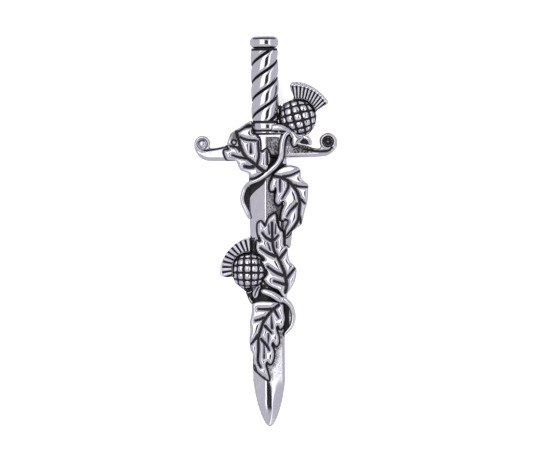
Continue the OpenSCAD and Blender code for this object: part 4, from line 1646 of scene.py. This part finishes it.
@dataclass
class Tuft(Piece):
    """A thistle's tuft: fine ribs fanned about a centre, ending in a rim that may be beaded."""

    name: str
    node: str
    outer_px: Points
    bulb: Bulb
    centre: tuple[float, float]
    ribs: int
    # Directions of the fan's two sides, in degrees, and the rim's distance from the centre at each
    fan_deg: tuple[float, float]
    rim_px: tuple[float, float]
    band_px: float = 2.9
    beaded: float = 1.0
    covers: tuple[str, ...] = ()
    sink: float = 0.62
    rib_lift: float = 0.42
    rim_lift: float = 0.52
    bead_lift: float = 0.07
    rim_drop: float = 0.55
    edge_drop: float = 0.30
    overlap: float = 1.006
    spacing: float = 0.11

    def outline(self, shop: Workshop) -> np.ndarray:
        """Draws the tuft's outline: its own outer side, then the edge of its bulb.

        Args:
            shop: The workshop.

        Returns:
            The outline's points, in millimetres.
        """
        outer = shop.photo.line(self.outer_px)
        middle = shop.photo.point(*self.bulb.centre)
        edge = middle + (self.bulb.outline(shop) - middle) * self.overlap
        count = len(edge)
        first, last = (int(np.argmin(((edge - end) ** 2).sum(1))) for end in (outer[-1], outer[0]))
        ahead = (last - first) % count
        walk = np.arange(1, ahead) if ahead <= count / 2 else -np.arange(1, count - ahead)
        return shop.beside(np.concatenate([outer, edge[(first + walk) % count]]))

    def heights(self, points: np.ndarray, outline: np.ndarray, shop: Workshop) -> Surface:
        """Shapes the tuft.

        Args:
            points: Places on it, one row each, in millimetres.
            outline: Its closed outline in millimetres.
            shop: The workshop.

        Returns:
            Heights, darkness and stipple at those places.
        """
        offset = points - shop.photo.point(*self.centre)
        r = np.sqrt((offset ** 2).sum(1)) / shop.photo.mm_per_px
        angle = np.degrees(np.arctan2(offset[:, 1], offset[:, 0]))
        angle = np.where(angle < -90, angle + 360, angle)
        first, last = self.fan_deg
        turn = (angle - first) / (last - first)
        wave = np.abs(np.sin(math.pi * turn * self.ribs))
        outer = self.rim_px[0] + (self.rim_px[1] - self.rim_px[0]) * np.clip(turn, 0, 1)
        rim = ramp(r, outer - self.band_px - 0.5, outer - self.band_px + 0.3)
        beads = np.sin(math.pi * turn * self.ribs * 2.0 + 0.7) * np.sin((r - outer) * 2.2)
        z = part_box(self.node)[1][2] / MM - self.sink + self.rib_lift * wave * (1 - rim)
        z += rim * (self.rim_lift + self.bead_lift * beads * self.beaded)
        z -= self.rim_drop * rim * ramp(r, outer - 0.9, outer + 0.2)
        z -= self.edge_drop * (1 - ramp(to_line(points, outline, True), 0.0, 0.2))
        top = Surface.polished(z)
        top.darken((1 - ramp(wave, 0.42, 0.84)) * (1 - rim))
        top.darken(0.8 * self.beaded * np.exp(-((r - outer + self.band_px + 0.5) / 0.5) ** 2))
        top.darken(rim * self.beaded * 0.62 * ramp(beads, 0.25, 0.7))
        top.darken(shop.shade(points, self.covers, 0.14))
        return top


@dataclass
class Bract(Patch):
    """A small smooth blade of metal with one rib: a thistle's bract, or the strap beside the collar."""

    outline_px: Points
    rib_px: Points
    top: float
    rise: float = 0.5
    edge_round: float = 0.22
    rib_half: tuple[float, float] = (0.09, 0.03)
    spacing: float = 0.11

    def outline(self, shop: Workshop) -> np.ndarray:
        """The bract's outline in millimetres."""
        return shop.photo.loop(self.outline_px, 0.12)

    def heights(self, points: np.ndarray, outline: np.ndarray, shop: Workshop) -> Surface:
        """Shapes the bract.

        Args:
            points: Places on it, one row each, in millimetres.
            outline: Its closed outline in millimetres.
            shop: The workshop.

        Returns:
            Heights, darkness and stipple at those places.
        """
        rim = to_line(points, outline, True)
        rib = to_line(points, shop.photo.line(self.rib_px), False, self.rib_half)
        swell = 1 - np.exp(-np.minimum(rim, np.maximum(rib, 0)) / self.edge_round)
        top = Surface.polished(self.top - self.rise + self.rise * swell)
        top.darken(1 - ramp(rib, -0.03, 0.12))
        return top


@dataclass(frozen=True)
class Softbox:
    """A patch of the light tent, between two directions across and two along, with its brightness."""

    left: float
    right: float
    low: float
    high: float
    light: float
    soft: float = 0.05

    def window(self, value: Wire, start: float, end: float) -> Wire:
        """1 between start and end, with soft sides."""
        after = value.between(end - self.soft, end + self.soft)
        return value.between(start - self.soft, start + self.soft) * (1.0 - after)

    def patch(self, x: Wire, y: Wire, z: Wire) -> Wire:
        """1 where a direction points into the box, 0 elsewhere and below the floor."""
        above = z.between(0.0, 0.1)
        return self.window(x, self.left, self.right) * self.window(y, self.low, self.high) * above


@dataclass
class Studio:
    """Pale floor, soft light and the camera straight over the pin."""

    photo: PhotoScale
    height: float = 0.30
    reach: float = 1.6
    wall: float = 0.90
    glow: float = 0.40
    floor_grey: float = 0.88
    panel_size: float = 0.8
    panel_power: float = 3.0
    panel_place: tuple[float, float, float] = (0.45, -0.30, 0.85)
    cool: Colour = (0.99, 0.975, 1.04)
    # Two white boxes, and the camera's dark hood between them
    boxes: tuple[Softbox, ...] = (
        Softbox(-0.54, 0.02, -0.30, 0.72, 2.6),
        Softbox(0.56, 0.75, -0.58, 0.62, 2.3),
        Softbox(0.06, 0.52, -0.30, 0.30, 0.03),
    )

    def floor(self) -> None:
        """Lays the pale floor, which the metal doesn't mirror."""
        mesh = bpy.data.meshes.new("floor")
        corners = [(x * self.reach, y * self.reach, 0) for x, y in ((-1, -1), (1, -1), (1, 1), (-1, 1))]
        mesh.from_pydata(corners, [], [(0, 1, 2, 3)])
        made, g, place = new_material("pale floor")
        g.principled({"Base Color": (self.floor_grey,) * 3 + (1.0,),
                      "Roughness": 0.85 + g.noise(place, 30.0, 2.0) * 0.1,
                      "Emission Color": (1.0, 1.0, 1.0, 1.0), "Emission Strength": self.glow})
        mesh.materials.append(made)
        floor = bpy.data.objects.new("floor", mesh)
        bpy.context.scene.collection.objects.link(floor)
        floor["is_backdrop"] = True
        floor.visible_glossy = False

    def camera(self) -> None:
        """Sets the camera straight over the pin, turned by its lean."""
        data = bpy.data.cameras.new("camera")
        data.type = "ORTHO"
        data.ortho_scale = FRAME_W * self.photo.mm_per_px * MM
        camera = bpy.data.objects.new("camera", data)
        x, y = self.photo.point(FRAME_W / 2, FRAME_H / 2) * MM
        camera.location = (x, y, self.height)
        camera.rotation_euler = (0.0, 0.0, -math.atan(self.photo.lean))
        bpy.context.scene.collection.objects.link(camera)
        bpy.context.scene.camera = camera

    def panel(self, name: str, side: float) -> None:
        """Hangs a soft light panel over the floor, which the metal doesn't mirror.

        Args:
            name: Its name.
            side: 1 for the right and near side, -1 for the left and far one.
        """
        data = bpy.data.lights.new(name, "AREA")
        data.shape = "SQUARE"
        data.size = self.panel_size
        data.energy = self.panel_power
        lamp = bpy.data.objects.new(name, data)
        x, y, z = self.panel_place
        lamp.location = (side * x, side * y, z)
        lamp.visible_glossy = False
        lamp.rotation_euler = (-lamp.location).to_track_quat("-Z", "Y").to_euler()
        bpy.context.scene.collection.objects.link(lamp)

    def world(self) -> None:
        """Wraps the scene in a light tent: pale walls, white softboxes and the camera's dark hood."""
        world = bpy.data.worlds.new("studio")
        world.use_nodes = True
        g = Graph(world.node_tree)
        direction = g.node("ShaderNodeTexCoord").out("Generated")
        split = g.node("ShaderNodeSeparateXYZ", None, {"Vector": direction})
        x, y, z = (split.out(axis) for axis in "XYZ")
        light: Wire | float = self.wall
        for box in self.boxes:
            light = light + (box.light - self.wall) * box.patch(x, y, z)
        tint = g.mix(light.between(self.wall * 0.6, self.wall * 2.0), (*self.cool, 1.0), (1.0, 1.0, 1.0, 1.0))
        back = g.node("ShaderNodeBackground", None, {"Color": tint, "Strength": light}).out()
        g.node("ShaderNodeOutputWorld", None, {"Surface": back})
        bpy.context.scene.world = world

    def build(self) -> None:
        """Builds the floor, the camera and the light."""
        bpy.context.scene.view_settings.view_transform = "Standard"
        self.floor()
        self.camera()
        self.world()
        for name, side in (("left panel", -1.0), ("right panel", 1.0)):
            self.panel(name, side)


GUARD_LEAF = (
    (250, 121), (243, 125), (237, 129), (231, 133), (229, 137), (227.5, 141), (227, 145), (229, 149.5),
    (224.5, 150.5), (224, 153), (226, 158), (229, 160), (235, 160.5), (237, 163), (239, 168), (241, 170.5),
    (246, 172.5), (248.5, 174), (249.5, 178), (257, 176.5), (265, 172), (269, 165), (270.5, 160),
    (270, 155), (267, 149.5), (265, 150), (262, 151.8), (260.4, 151), (260.2, 147), (260, 143),
    (259, 138), (257.6, 137.0), (256.4, 134.6), (252.8, 133.4), (252.2, 129), (252, 122))
GUARD_LEAF_VEINS = (
    Vein(((236, 131), (238.5, 140), (241, 148), (245, 156), (251, 161), (258, 167), (265, 172)), 2.0, 2.4),
    Vein(((232.4, 155), (238, 157), (246.5, 158.2)), 1.0, 2.0),
    Vein(((244.8, 166.4), (249, 167.2), (253.4, 166.6)), 2.0, 2.8),
    Vein(((250.6, 143.5), (250.8, 152.5)), 0.6, 2.0, 0.85),
    Vein(((258, 141), (259, 155), (257, 164)), 1.4, 2.0),
    Vein(((267, 151), (267.5, 164)), 1.2, 1.6),
    Vein(((239, 147), (239.5, 151))),
    Vein(((240, 137), (246, 139.5), (256, 140.5)), 1.6, 1.6),
    Vein(((236, 133), (246, 127), (256, 125)), 1.4, 1.4),
    Vein(((230, 146), (236, 147), (240, 150)), 1.2, 1.6))
GUARD_LEAF_HOLLOWS = ((233.4, 138.2, 4.8, 7.8), (248.2, 125.4, 4.4, 2.6))
GUARD_LEAF_BUDS = ((234.0, 142.4, 1.9),)
SHOULDER_LEAF = (
    (275, 172), (280, 168), (286, 165.5), (292, 165.3), (298, 167), (300, 169), (301, 173), (301, 177),
    (304, 181), (308, 184), (308.5, 187), (308, 198), (307, 204), (305.5, 209), (304, 215), (303, 220),
    (301.5, 224.5), (297, 228), (292, 232), (286.5, 237.5), (285, 232), (286, 228), (288.5, 222),
    (286, 219), (283, 220.8), (280.6, 219.2), (281.2, 213), (282.8, 207.5), (284.2, 203.6),
    (282.5, 201.7), (279, 205), (277, 204.5), (275, 201), (275.5, 195), (276, 190), (275.5, 188),
    (274, 191), (271, 191.5), (269.5, 189.5), (269.5, 185), (271, 180), (273, 176))
SHOULDER_LEAF_VEINS = (
    Vein(((274, 176), (281, 177.5), (288, 181), (293, 186), (297, 192), (299.5, 199), (299.5, 205),
          (299, 213), (298.5, 219), (294.5, 226), (287, 235.5)), 2.2, 2.0),
    Vein(((283, 177), (292, 174.5), (300, 170.5))),
    Vein(((292, 185), (300, 186.5), (308, 187))),
    Vein(((299, 198), (305, 203.5))),
    Vein(((299.5, 217), (301, 224))),
    Vein(((288.5, 182), (288, 188), (282, 198.5))),
    Vein(((297, 204), (290, 211), (287, 216.5))),
    Vein(((280, 180), (280, 191)), 1.4, 1.0))
MIDDLE_LEAF = (
    (275, 213.5), (271, 216), (268, 219), (266.5, 223), (265, 226), (262, 222), (260, 221.5),
    (258, 223.5), (257.5, 228), (258, 234), (260, 240), (260, 241.5), (257, 241), (255.5, 244),
    (255.5, 249), (258, 254), (262, 257), (264, 260), (261, 261), (262, 265), (265, 269), (266.5, 273),
    (264, 277.5), (262, 279), (264, 281), (267, 285), (272, 288), (278, 291), (281, 295), (284, 298.5),
    (287.5, 299), (287, 296), (288.5, 292), (292, 287), (295, 281), (296.5, 274), (296.5, 269),
    (294, 265), (290, 261), (288.5, 256), (288, 250), (287, 246), (283.6, 245), (283.3, 240),
    (283.2, 232.4), (281, 230.4), (278.6, 227.2), (277, 222), (276.6, 217))
MIDDLE_LEAF_VEINS = (
    Vein(((272, 223), (272.5, 240), (274, 250), (278, 258), (281, 264), (284.5, 273), (286, 280),
          (286.5, 286), (285.5, 292)), 1.8, 2.4),
    Vein(((262.5, 233), (266, 237.5), (272, 241)), 1.4, 2.2),
    Vein(((260.5, 248), (268, 253), (275, 256)), 1.4, 2.4),
    Vein(((267.5, 266.5), (276, 272.5), (285, 276)), 1.4, 2.4),
    Vein(((274, 281), (285, 284.5)), 1.4, 2.2),
    Vein(((278, 235.5), (274, 240)), 1.2, 1.8),
    Vein(((286.5, 249.5), (280, 258)), 1.4, 2.2),
    Vein(((294.5, 268.5), (287, 277.5)), 1.4, 2.2),
    Vein(((268.4, 224.3), (269.3, 234)), 0.8, 1.2, 0.8),
    Vein(((275.5, 224.3), (275.1, 234)), 0.8, 1.2, 0.8),
    Vein(((267.5, 243), (270.2, 250.2)), 0.8, 1.2, 0.8),
    Vein(((276.4, 242), (276.4, 247.5)), 0.8, 1.2, 0.8))
LOWER_LEAF = (
    (252, 304), (251.5, 312), (250.5, 318), (249.5, 322), (250, 328), (250, 333), (249.3, 338), (249.5, 345),
    (250.5, 350), (252.5, 354), (253.5, 358), (253.8, 365), (255, 369), (259, 373), (264, 377.5), (269, 380),
    (268, 373), (267, 370), (265.8, 365), (267, 362), (268.5, 363.5), (271, 364), (273, 360), (274, 355),
    (273.5, 350), (272, 345), (273, 342.5), (274.5, 345), (276.5, 346), (278.5, 343), (278.5, 337),
    (277, 331), (276.7, 327), (278, 326), (280, 329), (283.5, 326), (284.5, 322), (285, 318), (284, 312),
    (283, 305), (281, 303.5), (277, 302), (272, 301), (262, 300.5), (256, 301.5))
LOWER_LEAF_VEINS = (
    Vein(((278.5, 305), (273, 309.5), (268, 315), (264, 320.5), (262, 326), (260, 332), (258.5, 338),
          (258.5, 350), (258, 361), (260.5, 367)), 2.2, 1.6),
    Vein(((258.5, 309), (266, 309.2), (273, 309.5)), 1.4, 2.2),
    Vein(((255.5, 320.5), (264, 318)), 1.4, 2.2),
    Vein(((274, 309.5), (278.5, 317.5)), 2.0, 1.2),
    Vein(((265, 326), (271.5, 333)), 2.0, 1.2),
    Vein(((251, 344), (258, 335.5)), 1.2, 2.2),
    Vein(((261, 339), (267, 346), (269, 350)), 1.8, 1.4),
    Vein(((254.5, 365), (258, 373), (265, 378)), 1.6, 1.4),
    Vein(((271, 314), (271.5, 320), (272, 328)), 1.0, 3.0, 0.6),
    Vein(((263.5, 340), (264, 348), (264, 358)), 0.8, 1.6, 0.7),
    Vein(((268.5, 334), (268, 346)), 2.4, 1.0, 0.6))
UPPER_BULB = (
    (278, 109.5), (279.4, 105.6), (283, 103.8), (287, 101.8), (293, 99.3), (300, 98.6), (307, 100.5),
    (313, 105.5), (316, 112), (316.3, 118), (315, 125), (312, 130), (309, 133.5), (304, 135.3),
    (297, 134.5), (291, 131), (283.5, 129.5), (278, 128), (278, 121), (278, 114.5))
LOWER_BULB = (
    (232.3, 271), (232.4, 265), (234.5, 259), (238.5, 255), (244, 252.3), (250, 252), (256, 253.5),
    (260.5, 257), (264, 262), (265.2, 268), (264.5, 275), (262, 281), (257.5, 286), (253, 290),
    (249, 292.5), (246, 291.5), (243, 289), (239, 286), (235, 282), (233, 277))
UPPER_TUFT = (
    (292.6, 99.6), (293.6, 96.8), (292.4, 93.4), (290.6, 89.2), (290.0, 85.4), (291.4, 82.6), (296, 81.8),
    (302, 82.3), (310, 85.3), (318, 90.3), (324, 95.8), (327.7, 100.5), (328.2, 102.8), (326, 105),
    (321, 108), (317.5, 110.3), (316, 112))
LOWER_TUFT = (
    (249.9, 252.3), (249.9, 245), (249.6, 237.6), (245, 238.3), (240, 240.8), (234, 245), (229, 250),
    (225, 255), (222, 261), (220.2, 267), (219.6, 272), (221, 275.8), (227, 277.3), (232.7, 277.4))
STRAP = ((271.3, 127.2), (272.6, 125.2), (277.6, 124.4), (283.2, 125.2), (287.4, 127.6), (291.4, 131.0),
         (290.2, 133.2), (286.0, 131.2), (280.0, 130.6), (272.2, 130.8))
STRAP_RIB = ((271.6, 131.0), (278.5, 130.9))
UPPER_BRACT = ((290.6, 130.2), (294.8, 132.4), (298.6, 135.4), (303.6, 137.2), (301.6, 140.6),
               (298.6, 143.0), (293.8, 146.4), (291.8, 142.0), (292.0, 137.0), (289.8, 132.8))
UPPER_BRACT_RIB = ((291.4, 137.5), (292.4, 143.0))
LOWER_BRACT = ((259.8, 284.5), (255.2, 287.6), (252.8, 291.5), (252.8, 295.5), (255, 298.4),
               (257.8, 296.6), (259.2, 292), (260.6, 288))
LOWER_BRACT_RIB = ((258.5, 287), (255.5, 292.5), (254.6, 296))
CURL_HOLE = ((300.5, 137), (304, 136.5), (308, 138.5), (309.2, 141.5), (308.6, 144.6), (303.5, 144.2),
             (299.5, 142.5))
VINE_WEB = ((255, 184.5), (250, 186), (246, 189.5), (243.6, 195), (243.4, 202), (245.6, 208),
            (247.4, 212.2), (248.8, 212.9), (252, 207), (252, 186))
TENDRIL_WEB = ((282, 303), (285.5, 304), (289.5, 308.5), (291.8, 314), (292, 320.5), (290, 326.5),
               (286.5, 331.5), (282, 333))
TENDRIL_WEB_PALE = 286.6
UPPER_WEB = ((279.9, 128.5), (283, 130), (291, 131.8), (296.5, 135.6), (296, 138), (294.2, 138),
             (290.5, 133), (287, 132.4), (280, 132.7))
KNOB_WEB = ((245.8, 291.0), (248.5, 293), (251.5, 292), (252, 298), (251.5, 303.5), (249.6, 301.5),
            (247.4, 296.5))
KNOB_SHADOW = ((246.4, 290.6), (248.2, 289.4), (251.4, 289.6), (252.5, 292), (249, 293))
# Round stems: pixel across, pixel down, width in pixels, lift over the stem's level in millimetres
VINE = (
    (289, 132, 4.4, 0), (285, 135, 5.4, 0), (282.5, 142, 5.4, 0), (281.5, 150, 5.2, 0),
    (280.5, 157, 5.2, -0.3), (277, 164, 5.2, -0.6), (271, 170, 5.0, -0.6), (265, 175, 5.0, -0.6),
    (258, 179.5, 4.8, -0.9), (250, 183, 4.6, -1.4), (245, 188, 4.4, -2.0), (242.5, 195, 4.2, -2.2),
    (242.5, 202, 4.2, -2.2), (245, 208, 4.4, -2.1), (247.4, 213, 4.4, -2.0), (249.4, 217.6, 3.4, -1.9))
TENDRIL = (
    (282.5, 299.5, 6.0, 0), (286.5, 301.5, 5.8, -0.3), (290.5, 306, 5.4, -0.9), (293, 313, 5.0, -1.3),
    (293.2, 320, 4.6, -1.4), (291, 326.5, 4.0, -1.4), (287.5, 331, 3.0, -1.2), (285, 334, 2.2, -1.0))
STRAP_LINE = (
    (273.8, 128.3, 6.6, 0.7), (278, 127.7, 6.4, 0.6), (282.5, 127.9, 6.0, 0.5), (287, 129.4, 5.0, 0.3),
    (291, 131.8, 3.4, 0.2))
CURL = ((303.5, 136.8, 3.6, 0), (307.3, 138.2, 4.2, 0), (309.6, 141.0, 4.0, 0), (310.0, 144.0, 3.4, 0))
LOWER_STEM = (
    (263.4, 291.3, 5.6, 0), (267.5, 292.6, 6.2, 0), (273, 294.8, 6.6, 0), (278, 298, 6.6, 0),
    (280.5, 300, 6.4, 0))
LOWER_KNOB = ((248.6, 295.6, 1.6, -1.0), (250.0, 299.0, 1.8, -0.6), (252.0, 302.0, 1.6, 0))


def make_leaves(levels: Levels) -> list[Leaf]:
    """Lists the four leaves, each with its level, outline and veins.

    Args:
        levels: The layers' heights.

    Returns:
        The leaves, from the guard to the tip.
    """
    guard, blade = levels.over_guard, levels.over_blade
    return [
        Leaf("guard_leaf_lobes", "guard_leaf", guard, GUARD_LEAF, GUARD_LEAF_VEINS, GUARD_LEAF_HOLLOWS,
             GUARD_LEAF_BUDS, ("vine",)),
        Leaf("shoulder_leaf_lobes", "shoulder_leaf", blade, SHOULDER_LEAF, SHOULDER_LEAF_VEINS,
             covers=("vine",)),
        Leaf("middle_leaf_lobes", "middle_leaf", blade, MIDDLE_LEAF, MIDDLE_LEAF_VEINS,
             covers=("shoulder_leaf", "lower_stem"), web=SideWeb()),
        Leaf("lower_leaf_lobes", "lower_leaf", blade, LOWER_LEAF, LOWER_LEAF_VEINS, covers=("tendril",)),
    ]


def make_bulbs() -> list[Bulb]:
    """Lists the two scaly bulbs, the upper one first.

    Returns:
        The bulbs.
    """
    return [
        Bulb("upper_bulb_scales", "upper_thistle_bulb", UPPER_BULB, centre=(297.7, 117.2), radius_px=18.2,
             across=(7.2, -1.7), down=(1.8, 6.8), covers=("strap", "grip_side"), by_handle=True),
        Bulb("lower_bulb_scales", "lower_thistle_bulb", LOWER_BULB, centre=(249.0, 270.5), radius_px=17.4,
             across=(6.6, 0.0), down=(0.0, 6.9), covers=("middle_leaf", "knob_shadow"),
             shift_px=(-1.3, -1.4)),
    ]


def make_tufts(bulbs: list[Bulb]) -> list[Tuft]:
    """Lists the two tufts, each on its bulb.

    Args:
        bulbs: The upper and the lower bulb.

    Returns:
        The tufts, the upper one first.
    """
    upper, lower = bulbs
    return [
        Tuft("upper_tuft_ribs", "upper_thistle_tuft", UPPER_TUFT, upper, centre=(298.0, 125.0), ribs=11,
             fan_deg=(38.0, 103.0), rim_px=(38.0, 42.5), covers=("upper_bulb",)),
        Tuft("lower_tuft_ribs", "lower_thistle_tuft", LOWER_TUFT, lower, centre=(252.0, 268.0), ribs=10,
             fan_deg=(92.0, 198.0), rim_px=(31.5, 32.5), band_px=2.6, beaded=0.0, covers=("lower_bulb",)),
    ]


def make_stems(levels: Levels) -> dict[str, Stem]:
    """Lists the round stems, with the strap's middle line for the shadow at its foot.

    Args:
        levels: The layers' heights.

    Returns:
        The stems by name.
    """
    guard, blade = levels.over_guard, levels.over_blade
    stems = (Stem("vine", guard, VINE, bare_end=9), Stem("tendril", blade, TENDRIL),
             Stem("strap", guard, STRAP_LINE), Stem("curl", guard, CURL),
             Stem("lower_stem", blade, LOWER_STEM), Stem("lower_knob", blade, LOWER_KNOB))
    return {stem.name: stem for stem in stems}


def make_thistle_stem(shop: Workshop, name: str, node: str, stems: Sequence[Stem],
                      parts: Sequence[Plate | Bract]) -> bpy.types.Object:
    """Builds a thistle's stems, bracts and sunk plates as one piece.

    Args:
        shop: The workshop.
        name: The piece's name.
        node: The node that it stands for.
        stems: Its round stems.
        parts: Its bracts and plates.

    Returns:
        The finished object.
    """
    shell = Shell(name)
    for stem in stems:
        shell.tube(stem.path(shop))
    for part in parts:
        part.add_to(shell, shop)
    return shop.finish(shell, node)


def note_covers(shop: Workshop, stems: dict[str, Stem], leaves: list[Leaf], bulbs: list[Bulb],
                tufts: list[Tuft]) -> None:
    """Notes every outline that lies over another piece.

    Args:
        shop: The workshop, which keeps the notes.
        stems: The round stems by name.
        leaves: The leaves.
        bulbs: The upper and the lower bulb.
        tufts: The upper and the lower tuft.
    """
    for stem in stems.values():
        stem.note(shop)
    for leaf in leaves:
        shop.cover(leaf.node, leaf.outline(shop))
    for name, bulb in zip(("upper_bulb", "lower_bulb"), bulbs):
        shop.cover(name, bulb.outline(shop))
    shop.cover("lower_tuft", tufts[1].outline(shop))
    high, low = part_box("grip")[1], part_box("collar")[0]
    shop.cover("grip_side", np.array([(high[0], high[1]), (high[0], low[1])]) / MM, False)
    shop.cover("knob_shadow", shop.photo.loop(KNOB_SHADOW))
    shop.cover("bract", shop.photo.loop(UPPER_BRACT))


def main() -> None:
    """Builds the pin on its frame and lights it."""
    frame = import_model()
    cad_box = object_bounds()
    low, high = cad_box
    photo = PhotoScale((high[1] - low[1]) / MM)
    levels = Levels.from_frame()
    back, over_guard, over_blade = levels.back, levels.over_guard, levels.over_blade
    blade, handle, guard = Blade.from_frame(), Handle.from_frame(levels), Guard.from_frame()
    shop = Workshop(photo, levels, AntiquedSilver().material(), blade, handle)
    shop.cover("blade", blade.outline(shop))
    shop.cover("guard", guard.outline(shop))
    stems, leaves, bulbs = make_stems(levels), make_leaves(levels), make_bulbs()
    tufts = make_tufts(bulbs)
    note_covers(shop, stems, leaves, bulbs, tufts)
    creepers = (Creeper("vine", stems["vine"], VINE_WEB),
                Creeper("tendril", stems["tendril"], TENDRIL_WEB, TENDRIL_WEB_PALE))
    for piece in (handle, guard, blade, *creepers, *leaves, *bulbs, *tufts):
        piece.build(shop)
    make_thistle_stem(
        shop, "upper_stem_and_bract", "upper_thistle_stem", [stems["curl"]],
        [Bract(STRAP, STRAP_RIB, top=over_guard + 2.0),
         Bract(UPPER_BRACT, UPPER_BRACT_RIB, top=over_guard + 1.5),
         Plate(CURL_HOLE, over_guard, height=0.2), Plate(UPPER_WEB, back, height=1.5)])
    make_thistle_stem(
        shop, "lower_stem_and_knob", "lower_thistle_stem", [stems["lower_stem"], stems["lower_knob"]],
        [Plate(KNOB_WEB, back, height=1.9), Bract(LOWER_BRACT, LOWER_BRACT_RIB, top=over_blade + 1.0)])
    finding = frame["nodes"]["brooch_pin"]
    steel = PlatedSteel().material()
    for place in finding.material_slots:
        place.material = steel
    LOG.info("%s: %s", finding.name, Slot.STEEL.value)
    Studio(photo).build()


if __name__ == "__main__":
    logging.basicConfig(level=logging.INFO, format="%(name)s: %(message)s")
    main()
